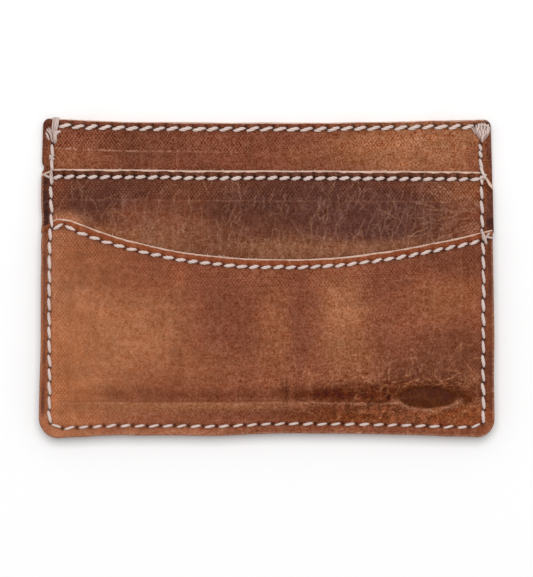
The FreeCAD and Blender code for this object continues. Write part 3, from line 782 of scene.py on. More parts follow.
class Sheet:
    """One leather sheet: a fine outer face, a coarse inner face and the wall between them.

    The grid's rows are finer above fine_from, where the sheet shows. side is 1 where the outer face looks
    up and -1 where it looks down. The cut edge is pale to the right of pale_from.
    """

    def __init__(self, name, layer, edge, step, bevel, fine_from, side=1, pale_from=PALE_FROM):
        self.name, self.layer, self.edge, self.side = name, layer, edge, side
        self.pale_from = pale_from
        self.columns = column_places(step)
        uneven = 1 + 0.5 * layered_noise(self.columns / 1.3, self.columns * 0, 17 + layer, 3)
        cut_corner = 1 + 1.6 * smooth_step((self.columns - 48.0) / 0.8) * (name == "straight_pocket")
        self.bevel = bevel * np.clip(uneven, 0.35, 1.8) * cut_corner
        span = float(edge(np.array(0.0)) - bottom_edge(np.array(0.0)))
        fine = (fine_from - ROWS_FROM) / span

        def row_step(share):
            return (step if share > fine else COARSE_ROW) / span

        self.shares = march(1.0 / span, 1 - 0.2 / span, row_step)
        self.place_rows()

    def place_rows(self):
        """Lay the grid out on the sheet's outline, then round its corners."""
        x0 = self.columns
        low = bottom_edge(x0)
        lip_line = self.edge(x0) - self.bevel
        rows = [low + offset for offset in EDGE_STEPS]
        rows += [low + share * (lip_line - low) for share in self.shares]
        self.first_lip = len(rows)
        rows += [self.edge(x0) - self.bevel * (1 - share) for share in LIP_SHARES]
        y = np.array(rows)
        x = np.broadcast_to(x0, y.shape).copy()
        sign = np.where(x < 0, -1.0, 1.0)
        reach = side_reach(y, sign) + self.extra(y, sign)
        from_side = BOTTOM_HALF_WIDTH - np.abs(x)
        x = sign * (reach - from_side * reach / BOTTOM_HALF_WIDTH)
        from_low = y - low
        from_top = self.edge(x0) - y
        self.edge_gap = np.minimum(from_side, from_low)
        for radius, chosen, gap, up in self.corners(x, from_low, from_top):
            inside = chosen & (from_side < radius) & (gap < radius)
            px = (radius - from_side[inside]) / radius
            py = (radius - gap[inside]) / radius
            nx = px * np.sqrt(1 - py * py / 2)
            ny = py * np.sqrt(1 - px * px / 2)
            x[inside] += sign[inside] * (nx - px) * radius
            y[inside] -= up * (ny - py) * radius
            round_gap = radius * (1 - np.hypot(nx, ny))
            self.edge_gap[inside] = np.minimum(self.edge_gap[inside], round_gap) if up < 0 else round_gap
        self.x, self.y = x, y
        self.lip_gap = np.broadcast_to(self.edge(x0), y.shape) - np.array(rows)

    def extra(self, y, sign):
        """How much wider this sheet was cut. Below the scoop the whole stack was trimmed as one."""
        on_left = -0.22 + 0.38 * smooth_step((-12 - y) / 14)
        on_right = 0.07 + 0.24 * smooth_step((2 - y) / 12)
        trimmed = np.where(sign < 0, on_left, on_right)
        if self.layer == 3:
            return trimmed
        left, right = SIDE_EXTRA[self.name]
        nick = 0.5 * bump_at(y, 24.5, 0.8) * (sign < 0) if self.layer < 2 else 0.0
        below = smooth_step((SCOOP_RIGHT_HEIGHT - 0.4 - y) / 0.8)
        return (np.where(sign < 0, left, right) - nick) * (1 - below) + (trimmed - 0.06) * below

    def corners(self, x, from_low, from_top):
        """The rounded corners: radius, which points, their distance from the level edge, and its side."""
        found = [(BOTTOM_LEFT_RADIUS, x < 0, from_low, 1), (BOTTOM_RIGHT_RADIUS, x > 0, from_low, 1)]
        if self.layer < 2:
            found.append((TOP_RADIUS, np.ones_like(x, bool), from_top, -1))
        return found

    def measure(self, row_holes, row_edge, row_inset):
        """Distances that the relief and the tones are made from."""
        x, y = self.x, self.y
        holes = list(map(tuple, row_holes)) + list(map(tuple, SEAM_HOLES))
        self.places = {
            "veins": vein_field(x, y, VEINS[self.name]),
            "edge": self.edge_gap,
            "lip": self.lip_gap,
            "row": row_edge(x) - row_inset - y,
            "pucker": pucker(x, y, row_holes, row_edge, row_inset),
            "hole": nearest(x, y, holes, 1.6),
            "seam": from_seam_line(x, y),
        }

    def heights(self):
        """The outer face's height and the inner face's height at each grid point."""
        x, y = self.x, self.y
        flat = sheet_height(self.layer, x, y)
        past = np.clip(EDGE_ROUNDING - self.edge_gap, 0, None)
        drop = EDGE_ROUNDING - np.sqrt(np.maximum(EDGE_ROUNDING**2 - past**2, 0))
        raised = relief(self.name, x, y, self.places) - drop
        lip_drop = np.zeros(x.shape)
        lip_drop[self.first_lip:] = LIP_DROPS[:, None]
        lip_rough = 0.05 * layered_noise(x / 0.35, y / 0.2, 63 + self.layer, 2)
        lip_rough[: self.first_lip + 1] = 0
        if self.side > 0:
            return flat + raised - lip_drop + lip_rough, flat - THICK
        return flat - THICK - raised + lip_drop + lip_rough, flat

    def build(self):
        """The sheet's points, faces and material slots."""
        rows, columns = self.x.shape
        outer, inner = self.heights()
        grid = np.arange(rows * columns).reshape(rows, columns)
        points = [np.stack([self.x, self.y, outer], -1).reshape(-1, 3)]
        loop = boundary(grid)
        loop_x, loop_y, loop_outer, loop_inner = (
            values.reshape(-1)[loop] for values in (self.x, self.y, outer, inner)
        )
        rings = [loop]
        start = rows * columns
        for share, inset in WALL_RINGS:
            px, py = inset_loop(loop_x, loop_y, inset)
            points.append(np.stack([px, py, loop_outer + (loop_inner - loop_outer) * share], -1))
            rings.append(np.arange(start, start + len(loop)))
            start += len(loop)
        faces = quads(grid)
        slots = np.full((rows - 1, columns - 1), FACE)
        slots[self.first_lip:] = np.where(self.x[-1, :-1] > self.pale_from, PALE_EDGE, DARK_EDGE)
        slots = slots.reshape(-1).tolist()
        mouth_start = (rows - 1) + (columns - 1) + (rows - 1)
        pale = (np.arange(len(loop)) >= mouth_start) & (loop_x > self.pale_from)
        for upper, lower in zip(rings, rings[1:]):
            wall = np.stack([upper, lower, np.roll(lower, -1), np.roll(upper, -1)], -1)
            faces += wall.tolist()
            slots += np.where(pale, PALE_EDGE, DARK_EDGE).tolist()
        more, inner_faces = coarse_face(self, grid, rings[-1], loop, inner, start)
        points.append(more)
        faces += inner_faces
        slots += [INNER] * len(inner_faces)
        if self.side < 0:
            faces = [face[::-1] for face in faces]
        return np.vstack(points), faces, slots


def boundary(grid):
    """The grid's outer points: down the left, along the bottom, up the right, back along the top."""
    left = grid[::-1, 0][:-1]
    low = grid[0, :][:-1]
    right = grid[:, -1][:-1]
    top = grid[-1, ::-1][:-1]
    return np.concatenate([left, low, right, top])


def inset_loop(x, y, amount):
    """A closed loop moved inward by an amount."""
    tx = np.roll(x, -1) - np.roll(x, 1)
    ty = np.roll(y, -1) - np.roll(y, 1)
    size = np.maximum(np.hypot(tx, ty), 1e-9)
    return x - ty / size * amount, y + tx / size * amount


def quads(grid):
    """A grid's faces, looking up."""
    corners = (grid[:-1, :-1], grid[:-1, 1:], grid[1:, 1:], grid[1:, :-1])
    return np.stack([corner.reshape(-1) for corner in corners], -1).tolist()


def every(count, step):
    """Line numbers from 0 to the last, about step apart."""
    pieces = max(round((count - 1) / step), 1)
    return [round((count - 1) * n / pieces) for n in range(pieces + 1)]


def coarse_face(sheet, grid, ring, loop, inner, start):
    """The sheet's inner face: cells that span many grid lines, joined to the wall's last ring."""
    row_lines = every(grid.shape[0], INNER_CELL[0])
    column_lines = every(grid.shape[1], INNER_CELL[1])
    number_of = dict(zip(loop.tolist(), ring.tolist()))
    points = []
    for j in row_lines[1:-1]:
        for i in column_lines[1:-1]:
            number_of[grid[j, i]] = start + len(points)
            points.append((sheet.x[j, i], sheet.y[j, i], inner[j, i]))
    faces = []
    for j, j_next in zip(row_lines, row_lines[1:]):
        for i, i_next in zip(column_lines, column_lines[1:]):
            # the way round the cell passes its corners and, at the sheet's edge, the ring's points
            way = [(n, i) for n in range(j, j_next)] + [(j_next, n) for n in range(i, i_next)]
            way += [(n, i_next) for n in range(j_next, j, -1)] + [(j, n) for n in range(i_next, i, -1)]
            faces.append([number_of[grid[place]] for place in way if grid[place] in number_of])
    return np.array(points), faces


# ---------------------------------------------------------------- meshes and materials

METRES = 0.001


def placed(name, data):
    """A new object in the scene."""
    thing = bpy.data.objects.new(name, data)
    bpy.context.scene.collection.objects.link(thing)
    return thing


def make_mesh(name, points, faces, slots, materials):
    """A smooth-shaded object from points in millimetres. slots gives each face's material, or None."""
    mesh = bpy.data.meshes.new(name)
    mesh.from_pydata((np.asarray(points) * METRES).tolist(), [], faces)
    for material in materials:
        mesh.materials.append(material)
    if slots is not None:
        mesh.polygons.foreach_set("material_index", slots)
    mesh.polygons.foreach_set("use_smooth", [True] * len(mesh.polygons))
    mesh.update()
    return placed(name, mesh)


def paint(piece, name, colours):
    """Give each point of a piece a colour, as an attribute that its material reads."""
    layer = piece.data.color_attributes.new(name=name, type="FLOAT_COLOR", domain="POINT")
    full = np.ones((len(piece.data.vertices), 4), np.float32)
    full[: len(colours), :3] = colours
    layer.data.foreach_set("color", full.reshape(-1))


class Nodes:
    """A material's node tree. An input is a number, some numbers, or another node's (node, output)."""

    def __init__(self, name):
        self.material = bpy.data.materials.new(name)
        self.material.use_nodes = True
        self.tree = self.material.node_tree
        self.tree.nodes.clear()
        self.shader = self.add("BsdfPrincipled")
        self.add("OutputMaterial", {"Surface": (self.shader, "BSDF")})

    def add(self, kind, inputs=(), **settings):
        """A node with its settings made and its inputs set or joined."""
        node = self.tree.nodes.new("ShaderNode" + kind)
        for key, value in settings.items():
            setattr(node, key, value)
        self.feed(node, inputs)
        return node

    def feed(self, node, inputs):
        """Set or join a node's inputs."""
        for socket, value in dict(inputs).items():
            if isinstance(value, tuple) and isinstance(value[0], bpy.types.Node):
                self.tree.links.new(value[0].outputs[value[1]], node.inputs[socket])
            else:
                node.inputs[socket].default_value = value

    def place(self, **mapping):
        """The place on the object, turned or stretched where a mapping says so."""
        place = (self.add("TexCoord"), "Object")
        if not mapping:
            return place
        return (self.add("Mapping", {"Vector": place, **mapping}), "Vector")

    def attribute(self, name):
        """The colours that paint() gave the piece under a name."""
        return (self.add("Attribute", attribute_name=name), "Color")

    def noise(self, scale, detail, roughness, stretch=None, output="Fac"):
        """Noise over the object; scale is cells to the metre."""
        place = self.place(Scale=stretch) if stretch else self.place()
        inputs = {"Vector": place, "Scale": scale, "Detail": detail, "Roughness": roughness}
        return (self.add("TexNoise", inputs), output)

    def math(self, operation, first, second=0.0):
        return (self.add("Math", {0: first, 1: second}, operation=operation), 0)

    def plus(self, first, second):
        return self.math("ADD", first, second)

    def times(self, first, second):
        return self.math("MULTIPLY", first, second)

    def spread(self, value, low, high, to_low, to_high):
        """Map a value from one range to another."""
        inputs = {"Value": value, "From Min": low, "From Max": high, "To Min": to_low, "To Max": to_high}
        return (self.add("MapRange", inputs), "Result")

    def hairs(self, scale, stretch, width):
        """Thin wandering lines, from 0 to 1, where a stretched noise passes through its middle value."""
        level = self.math("SUBTRACT", self.noise(scale, 1, 0.5, stretch), 0.5)
        return self.spread(self.math("ABSOLUTE", level), 0.0, width, 1.0, 0.0)

    def scaled(self, colour, factor):
        return (self.add("VectorMath", {0: colour, "Scale": factor}, operation="SCALE"), "Vector")

    def added_share(self, first, share, second):
        """The second plus a share of the first, each channel by itself."""
        inputs = {0: first, 1: share, 2: second}
        return (self.add("VectorMath", inputs, operation="MULTIPLY_ADD"), "Vector")

    def bump(self, height, distance, strength, under=None):
        """A bump over the plain surface, or over another bump."""
        inputs = {"Height": height, "Distance": distance, "Strength": strength}
        if under:
            inputs["Normal"] = under
        return (self.add("Bump", inputs), "Normal")

    def ramp(self, value, low, high):
        """Colours from low to high, each given as its place from 0 to 1 and its linear colour."""
        node = self.add("ValToRGB", {"Fac": value})
        for element, (place, colour) in zip(node.color_ramp.elements, (low, high)):
            element.position = place
            element.color = (*colour, 1)
        return (node, "Color")

    def finish(self, colour, roughness, specular, bump):
        """Put the surface together and give back the material."""
        inputs = {"Base Color": colour, "Roughness": roughness, "Specular IOR Level": specular}
        self.feed(self.shader, {**inputs, "Normal": bump})
        return self.material


# what a gain of 1 adds to a leather colour's own red, green and blue: a dusty tan
FADING = (0.50, 1.0, 1.75)
MIDDLE = (0.3, 0.7)


def leather_material():
    """Waxed vegetable-tanned leather: mottled, creased and grained, with hatch marks beside the seams."""
    n = Nodes("waxed_leather")
    marks = n.add("SeparateColor", {"Color": n.attribute("Marks")})
    hatching, creasing, graining = ((marks, channel) for channel in ("Red", "Green", "Blue"))
    mottle = n.noise(800, 5, 0.65)
    cloud = n.spread(mottle, *MIDDLE, -0.22, 0.24)
    speck = n.spread(n.noise(2500, 1, 0.8), *MIDDLE, -0.42, 0.62)
    brushed = n.spread(n.noise(1500, 3, 0.7, (0.25, 1.6, 1.0)), *MIDDLE, -0.16, 0.18)
    grain = n.times(n.plus(cloud, n.plus(speck, brushed)), graining)
    hatch = n.times(hatch_pattern(n), hatching)
    patchy = n.spread(n.noise(140, 2, 0.5), 0.40, 0.56, 0.15, 1.0)
    wide_web = n.times(n.times(crease_web(n, 430, (1.0, 0.42, 1.0), 0.0016, 0.08), creasing), patchy)
    fine_web = n.times(crease_web(n, 850, (1.0, 0.6, 1.0), 0.0011, 0.15), graining)
    hairs = n.plus(n.hairs(520, (0.45, 1.5, 1.0), 0.03), n.hairs(420, (1.4, 0.55, 1.0), 0.03))
    web = n.plus(n.times(wide_web, 0.55), n.times(fine_web, 0.30))
    web = n.plus(web, n.times(n.times(hairs, graining), 0.22))
    gain = n.plus(n.plus(n.math("SUBTRACT", grain, 0.11), n.times(hatch, 1.8)), web)
    tone = n.attribute("Tone")
    colour = n.added_share(tone, n.scaled(FADING, gain), tone)
    bump = n.bump(grain, 0.00018, 0.6)
    bump = n.bump(hatch, 0.00010, 0.7, bump)
    bump = n.bump(n.times(web, -1.0), 0.00012, 0.6, bump)
    return n.finish(colour, n.spread(mottle, *MIDDLE, 0.42, 0.60), 0.1, bump)


def crease_web(n, cells, stretch, warp, width):
    """Lines along the borders of warped cells, from 0 to 1, as in soft leather."""
    drift = n.noise(cells * 0.8, 3, 0.6, output="Color")
    moved = n.added_share(drift, (warp, warp, 0), n.place())
    mapping = n.add("Mapping", {"Vector": moved, "Scale": stretch})
    inputs = {"Vector": (mapping, "Vector"), "Scale": cells}
    web = n.add("TexVoronoi", inputs, feature="DISTANCE_TO_EDGE")
    return n.spread((web, "Distance"), 0.0, width, 1.0, 0.0)


def hatch_pattern(n):
    """The fine lattice of dashes that a knurled presser foot leaves: two sets of slanting lines."""
    sets = []
    for turn in (0.94, -0.94):
        inputs = {"Scale": 515, "Distortion": 1.3, "Detail": 2, "Detail Scale": 1.5}
        inputs["Vector"] = n.place(Rotation=(0, 0, turn))
        sets.append((n.add("TexWave", inputs, wave_type="BANDS", bands_direction="Y"), "Fac"))
    return n.spread(n.times(*sets), 0.0, 1.0, -0.25, 0.75)


def raw_edge_material():
    """The pale, fibrous cut edge of a sheet."""
    n = Nodes("raw_leather_edge")
    fibre = n.noise(5200, 4, 0.75)
    mix = n.plus(n.times(fibre, 0.6), n.times(n.noise(420, 3, 0.6), 0.4))
    colour = n.ramp(mix, (0.28, linear("raw") * 0.68), (0.58, linear("raw")))
    return n.finish(colour, 0.85, 0.2, n.bump(fibre, 0.0001, 0.7))


def finished_edge_material(name, dark, light):
    """A rubbed edge, mottled between two shades."""
    n = Nodes(name)
    grain = n.noise(900, 5, 0.7, (1, 1, 3))
    mix = n.plus(n.times(grain, 0.5), n.times(n.noise(160, 3, 0.6), 0.5))
    colour = n.ramp(mix, (0.3, linear(dark)), (0.7, linear(light)))
    return n.finish(colour, 0.46, 0.5, n.bump(grain, 0.00012, 0.5))


def flesh_side_material():
    """The napped inner face of the leather."""
    n = Nodes("leather_flesh_side")
    nap = n.noise(2600, 5, 0.75)
    colour = n.ramp(nap, (0.3, linear("russet")), (0.7, linear("tan")))
    return n.finish(colour, 0.9, 0.15, n.bump(nap, 0.00015, 0.6))


def thread_material():
    """Off-white waxed thread in patches of dirt, darkened in its hollows by painted shade and on some
    strands by soiling.
    """
    n = Nodes("waxed_thread")
    fibre = n.noise(4200, 4, 0.7)
    worn = n.spread(fibre, *MIDDLE, 0.86, 1.08)
    darkening = n.spread(n.noise(260, 3, 0.6), *MIDDLE, 0.9, 1.05)
    colour = n.scaled(n.attribute("Tone"), n.times(worn, darkening))
    n.feed(n.shader, {"Sheen Weight": 0.15})
    return n.finish(colour, 0.62, 0.3, n.bump(fibre, 0.00006, 0.5))


LEATHER = leather_material()
RAW_EDGE = raw_edge_material()
BURNISHED = finished_edge_material("burnished_edge", "maroon", "russet")
RUBBED = finished_edge_material("rubbed_edge", "russet", "raw")
FLESH = flesh_side_material()
THREAD = thread_material()


# ---------------------------------------------------------------- building the sheets

SHARP_ANGLE = math.radians(48)
# how creased each sheet's face is, and how strong its grain is
CREASING = {"scoop_pocket": 0.45, "straight_pocket": 0.9, "front_panel": 0.3, "rear_panel": 0.6}
GRAINING = {"scoop_pocket": 0.7, "straight_pocket": 1.0, "front_panel": 1.35, "rear_panel": 0.8}


def sheet_marks(sheet):
    """Red: the presser foot's hatch. Green: how creased the leather is. Blue: how strong its grain is."""
    x, y = sheet.x, sheet.y
    row, seam = sheet.places["row"], sheet.places["seam"]
    track = smooth_step((row - 0.3) / 0.5) * smooth_step((FOOT_MARK_WIDTH + 0.1 - row) / 0.4)
    side = smooth_step((seam - 0.3) / 0.5) * smooth_step((4.2 - seam) / 1.0) * (sheet.edge_gap > 2.0)
    patchy = 0.7 + 0.35 * layered_noise(x / 6, y / 3, 71, 3)
    hatch = np.clip(np.maximum(track, 0.6 * side) * patchy, 0, 1)
    if sheet.name == "front_panel":
        hatch = hatch * (1.2 - 0.6 * smooth_step((x + 22) / 34))
    elif sheet.name == "scoop_pocket":
        hatch = hatch * 0.65
    creased = 0.75 + 0.5 * layered_noise(x / 12, y / 12, 72, 2)
    creased = CREASING[sheet.name] * creased * (1 - 0.6 * hatch)
    grained = GRAINING[sheet.name] * np.ones_like(x)
    if sheet.name == "scoop_pocket":
        grained = grained - 0.25 * bump_at(x, -44, 9) + 0.3 * bump_at(x, -4, 12)
        grained = grained + 0.4 * bump_at(x, 30, 26)
        grained = grained + 0.65 * bump_at(x, 28, 22) * bump_at(y, -26, 6)
        grained = grained * (1 - 0.6 * stamp_depth(x, y)[0])
        creased = creased + 0.5 * bump_at(x, 30, 16) * bump_at(y, -27, 8)
    return np.stack([hatch, np.clip(creased, 0, 1), grained], -1)


def leather_sheet(sheet, row_holes, row_edge, row_inset):
    """Build one sheet, paint it and put it in its CAD node's place."""
    sheet.measure(row_holes, row_edge, row_inset)
    lip = RUBBED if sheet.layer < 2 else RAW_EDGE
    piece = make_mesh(f"{sheet.name}_leather", *sheet.build(), (LEATHER, lip, BURNISHED, FLESH))
    tone = leather_tone(sheet.name, sheet.x, sheet.y, sheet.places)
    paint(piece, "Tone", under_gloss(tone).reshape(-1, 3))
    paint(piece, "Marks", sheet_marks(sheet).reshape(-1, 3))
    piece.data.set_sharp_from_angle(angle=SHARP_ANGLE)
    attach(piece, BODY)
    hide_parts(sheet.name)


step = 0.25
scoop_sheet = Sheet("scoop_pocket", 3, scoop_edge, step * 0.9, 0.28, FINE_ALL_OVER)
straight_sheet = Sheet("straight_pocket", 2, straight_edge, step * 0.76, 0.36, 1.0, pale_from=-PAST_SIDE)
front_sheet = Sheet("front_panel", 1, top_edge, step * 0.76, 0.2, 20.0)
rear_sheet = Sheet("rear_panel", 0, rear_edge, step * 1.6, 0.2, FINE_ALL_OVER, side=-1)
leather_sheet(scoop_sheet, SCOOP_HOLES, scoop_edge, SCOOP_ROW_INSET)
leather_sheet(straight_sheet, STRAIGHT_HOLES, straight_edge, STRAIGHT_ROW_INSET)
leather_sheet(front_sheet, TOP_HOLES, top_edge, TOP_ROW_INSET)
leather_sheet(rear_sheet, REAR_HOLES, top_edge, TOP_ROW_INSET)


# ---------------------------------------------------------------- threads

THREAD_SHADE = (226, 206, 197)
# the colour that the threads are darkened towards, for painted shade in their hollows and for soiling
SHADE_AND_DIRT_TONE = (120, 74, 60)
SHADE_AND_DIRT_STRENGTH = 0.7
STRAND_SIDES = 14
STRAND_STEPS = 16
PLIES = 3
PLY_DEPTH = 0.19
# how deep the threads run in a hidden face, and how high above the floor they run in the rear face
SUNK = 0.22
REAR_SUNK = 0.3


def strand(centre, radius, turns, phase, flatness=0.85):
    """A twisted three-ply strand along a centre line. Returns points, faces and a hollow measure: painted
    shade in the grooves between the plies and at the ends, where the strand sinks into its holes.
    """
    centre = np.asarray(centre, float)
    count = len(centre)
    tangent = np.gradient(centre, axis=0)
    tangent /= np.linalg.norm(tangent, axis=1)[:, None]
    across = np.cross([0.0, 0.0, 1.0], tangent)
    weak = np.linalg.norm(across, axis=1) < 0.2
    across[weak] = np.cross([1.0, 0.0, 0.0], tangent[weak])
    across /= np.linalg.norm(across, axis=1)[:, None]
    over = np.cross(tangent, across)
    angle = np.linspace(0, 2 * math.pi, STRAND_SIDES, endpoint=False)
    share = np.linspace(0, 1, count)
    ply = np.cos(PLIES * (angle[None] - 2 * math.pi * turns * share[:, None] - phase))
    size = radius[:, None] * (1 + PLY_DEPTH * ply)
    ring = (
        centre[:, None]
        + across[:, None] * (size * np.cos(angle))[..., None]
        + over[:, None] * (size * np.sin(angle) * flatness)[..., None]
    )
    grid = np.arange(count * STRAND_SIDES).reshape(count, STRAND_SIDES)
    after = np.roll(grid, -1, axis=1)
    faces = np.stack([after[:-1], after[1:], grid[1:], grid[:-1]], -1).reshape(-1, 4).tolist()
    faces += [grid[0, ::-1].tolist(), grid[-1].tolist()]
    # painted shade: darker in the grooves between the plies and towards both ends
    ends = smooth_step((np.abs(share - 0.5) - 0.34) / 0.16)
    hollow = np.clip(-ply, 0, 1) * 0.72 + ends[:, None] * 0.6
    return ring.reshape(-1, 3), faces, hollow.reshape(-1)


class Strands:
    """Many strands gathered into one mesh."""

    def __init__(self):
        self.points, self.faces, self.hollows, self.count = [], [], [], 0

    def add(self, made, darkening=0.0):
        """One more strand, as strand() made it, and how much darker it is painted: soiling, and for the
        right tack's lower strands also painted shade.
        """
        points, faces, hollow = made
        self.points.append(points)
        self.faces += [[n + self.count for n in face] for face in faces]
        self.hollows.append(hollow + darkening)
        self.count += len(points)

    def piece(self, name, node, darker_overall=0.0):
        """The mesh, darkened by painted shade in its hollows and by each strand's soiling, in the place
        of its CAD node.
        """
        piece = make_mesh(name, np.vstack(self.points), self.faces, None, (THREAD,))
        hollow = np.clip(np.concatenate(self.hollows) + darker_overall, 0, 1)[:, None]
        clean, shade_and_dirt_colour = ((np.array(shade) / 255) ** 2.2 for shade in (THREAD_SHADE, SHADE_AND_DIRT_TONE))
        paint(piece, "Tone", clean * (1 - SHADE_AND_DIRT_STRENGTH * hollow) + shade_and_dirt_colour * SHADE_AND_DIRT_STRENGTH * hollow)
        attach(piece, BODY)
        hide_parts(node)


def stitch_strand(start, end, rng, radius, slant, inset, bulge=0.28, turns=0.9, curl=0.12, blunt=0.75):
    """One stitch between two needle holes: plump in the middle, slanted, with its ends in the holes."""
    share = np.linspace(0, 1, STRAND_STEPS)
    run = end - start
    size = np.hypot(run[0], run[1])
    side = np.array([-run[1], run[0], 0]) / size
    inset = inset + rng.uniform(-0.02, 0.03)
    centre = start + run * (inset + (1 - 2 * inset) * share)[:, None]
    sway = slant * ((share - 0.5) * 2 - curl * np.sin(2 * math.pi * share)) + rng.uniform(-0.04, 0.04)
    centre += side * sway[:, None]
    arch = np.sin(math.pi * share)
    centre[:, 2] += bulge * arch**0.55 - 0.25 * (1 - arch**0.5)
    thick = radius * (0.36 + 0.64 * arch**blunt) * rng.uniform(0.9, 1.08)
    return strand(centre, thick, turns, rng.uniform(0, 2))


def mouth_stitches(node, holes, layer, radius, slant, inset, seed, curl=0.12):
    """The stitches that show along a mouth. inset is the share of a stitch hidden at each end."""
    rng = np.random.default_rng(seed)
    gathered = Strands()
    tops = sheet_height(layer, holes[:, 0], holes[:, 1]) - 0.16
    points = np.column_stack([holes, tops])
    for start, end in zip(points, points[1:]):
        lean = slant * rng.uniform(0.7, 1.3)
        gathered.add(stitch_strand(start, end, rng, radius, lean, inset, curl=curl))
    gathered.piece(f"{node}_stitches", node)


def inner_stitches(node, holes, heights, sign, seed):
    """Stitches that lie sunk in a face that is hardly seen. sign is 1 where the face looks up, or -1."""
    rng = np.random.default_rng(seed)
    gathered = Strands()
    points = np.column_stack([holes, heights])
    share = np.linspace(0, 1, 10)
    arch = np.sin(math.pi * share)
    for start, end in zip(points, points[1:]):
        centre = start + (end - start) * (0.05 + 0.9 * share)[:, None]
        centre[:, 2] += sign * (0.06 * arch - 0.3 * (1 - arch**0.5))
        gathered.add(strand(centre, 0.27 * (0.5 + 0.5 * arch**0.5), 0.9, rng.uniform(0, 2), 0.7))
    gathered.piece(f"{node}_stitches", node)


def under_sheet(layer, holes):
    """Heights just inside a sheet's back at the needle holes."""
    return sheet_height(layer, holes[:, 0], holes[:, 1]) - THICK + SUNK


def level(height, holes):
    """The same height at every needle hole."""
    return np.full(len(holes), height)


mouth_stitches("front_mouth_needle_thread", TOP_HOLES, 1, 0.39, 0.30, 0.02, 81, curl=0.3)
mouth_stitches("straight_mouth_needle_thread", STRAIGHT_HOLES, 2, 0.40, 0.20, 0.09, 82)
mouth_stitches("scoop_mouth_needle_thread", SCOOP_HOLES, 3, 0.38, 0.20, 0.08, 83)
inner_stitches("front_mouth_bobbin_thread", TOP_HOLES, under_sheet(1, TOP_HOLES), -1, 84)
inner_stitches("straight_mouth_bobbin_thread", STRAIGHT_HOLES, under_sheet(2, STRAIGHT_HOLES), -1, 85)
inner_stitches("scoop_mouth_bobbin_thread", SCOOP_HOLES, under_sheet(3, SCOOP_HOLES), -1, 86)
inner_stitches("rear_mouth_needle_thread", REAR_HOLES, level(REAR_SUNK, REAR_HOLES), -1, 87)
inner_stitches("rear_mouth_bobbin_thread", REAR_HOLES, level(THICK - SUNK, REAR_HOLES), 1, 88)
inner_stitches("side_seam_bobbin_thread", SEAM_HOLES, level(REAR_SUNK, SEAM_HOLES), -1, 89)


def seam_stitches():
    """The long seam's visible stitches, and the back stitches where it crosses a mouth."""
    rng = np.random.default_rng(90)
    gathered = Strands()
    tops = sheets_at(SEAM_HOLES[:, 0], SEAM_HOLES[:, 1]) * THICK - 0.14
    points = np.column_stack([SEAM_HOLES, tops])
    for start, end in zip(points, points[1:]):
        along_bottom = abs(end[1] - start[1]) < abs(end[0] - start[0])
        slant = rng.uniform(0.10, 0.24 if along_bottom else 0.22)
        radius, inset = (0.30, 0.14) if along_bottom else (0.37, 0.03)
        made = stitch_strand(start, end, rng, radius, slant, inset, bulge=0.24, turns=1.3, blunt=0.5)
        gathered.add(made)
    add_strokes(gathered, BACK_STITCHES, 0.27, rng)
    gathered.piece("side_seam_needle_thread_stitches", "side_seam_needle_thread")


# ---------------------------------------------------------------- bar tacks and back stitches

# strokes: start x and y, end x and y, how high the middle stands above the leather
BACK_STITCHES = [
    (-47.7, 24.2, -47.3, 21.1, 0.34),
    (-49.3, 23.0, -47.6, 22.1, 0.30),
    (-47.1, 27.3, -48.0, 26.5, 0.40),
    (-47.9, 27.2, -47.2, 26.4, 0.34),
    (47.5, 24.6, 48.5, 22.0, 0.44),
    (47.9, 23.9, 48.3, 21.9, 0.50),
    (48.7, 22.9, 47.2, 22.0, 0.36),
    (47.7, 10.3, 48.7, 7.6, 0.40),
    (48.0, 9.2, 50.0, 8.9, 0.34),
    (49.4, 10.0, 48.2, 8.3, 0.36),
]
# the left tack's bundle over the top edge: x at the edge, then x and y of its lower end
LEFT_BUNDLE = [(-47.2, -47.5, 32.3), (-46.75, -46.9, 32.0), (-46.15, -46.6, 32.5), (-46.5, -47.0, 33.0)]
LEFT_TACK = [
    (-48.9, 32.3, -48.2, 30.7, 0.26),
    (-48.7, 33.1, -47.8, 31.7, 0.32),
    (-48.1, 33.3, -47.5, 31.2, 0.40),
    (-47.9, 32.5, -47.4, 30.2, 0.36),
    (-47.4, 33.4, -47.0, 31.0, 0.52),
    (-47.2, 32.3, -46.9, 29.9, 0.42),
    (-46.8, 33.0, -46.7, 30.2, 0.40),
    (-46.4, 32.9, -47.1, 30.9, 0.46),
    (-48.3, 32.5, -46.4, 32.9, 0.60),
    (-47.6, 32.3, -45.6, 32.5, 0.58),
    (-45.8, 32.8, -46.9, 31.4, 0.46),
]
RIGHT_TACK = [
    (46.5, 33.9, 46.9, 32.0, 0.50),
    (47.2, 34.2, 46.8, 32.6, 0.62),
    (47.1, 33.2, 47.7, 31.1, 0.66),
    (47.8, 34.4, 47.6, 32.3, 0.56),
    (48.0, 33.3, 48.1, 30.9, 0.76),
    (48.5, 34.4, 48.4, 32.6, 0.60),
    (48.6, 33.1, 48.3, 31.3, 0.72),
    (49.2, 34.1, 48.8, 32.0, 0.58),
    (47.9, 31.9, 47.9, 30.2, 0.56),
    (49.5, 33.4, 48.7, 31.5, 0.50),
    (46.9, 34.1, 48.7, 33.9, 0.64),
    (48.2, 34.2, 49.6, 33.3, 0.66),
]


def add_strokes(gathered, strokes, radius, rng, least_darkening=-0.15, most_darkening=0.45):
    """Strokes with both ends in the leather, raised in the middle as they pile up."""
    for ax, ay, bx, by, height in strokes:
        top = float(sheets_at(np.array(ax), np.array((ay + by) / 2))) * THICK
        path = bowed_path((ax, ay), (bx, by), rng.uniform(-0.12, 0.12), top, height)
        gathered.add(tack_strand(path, radius, rng, 1.6), rng.uniform(least_darkening, most_darkening))


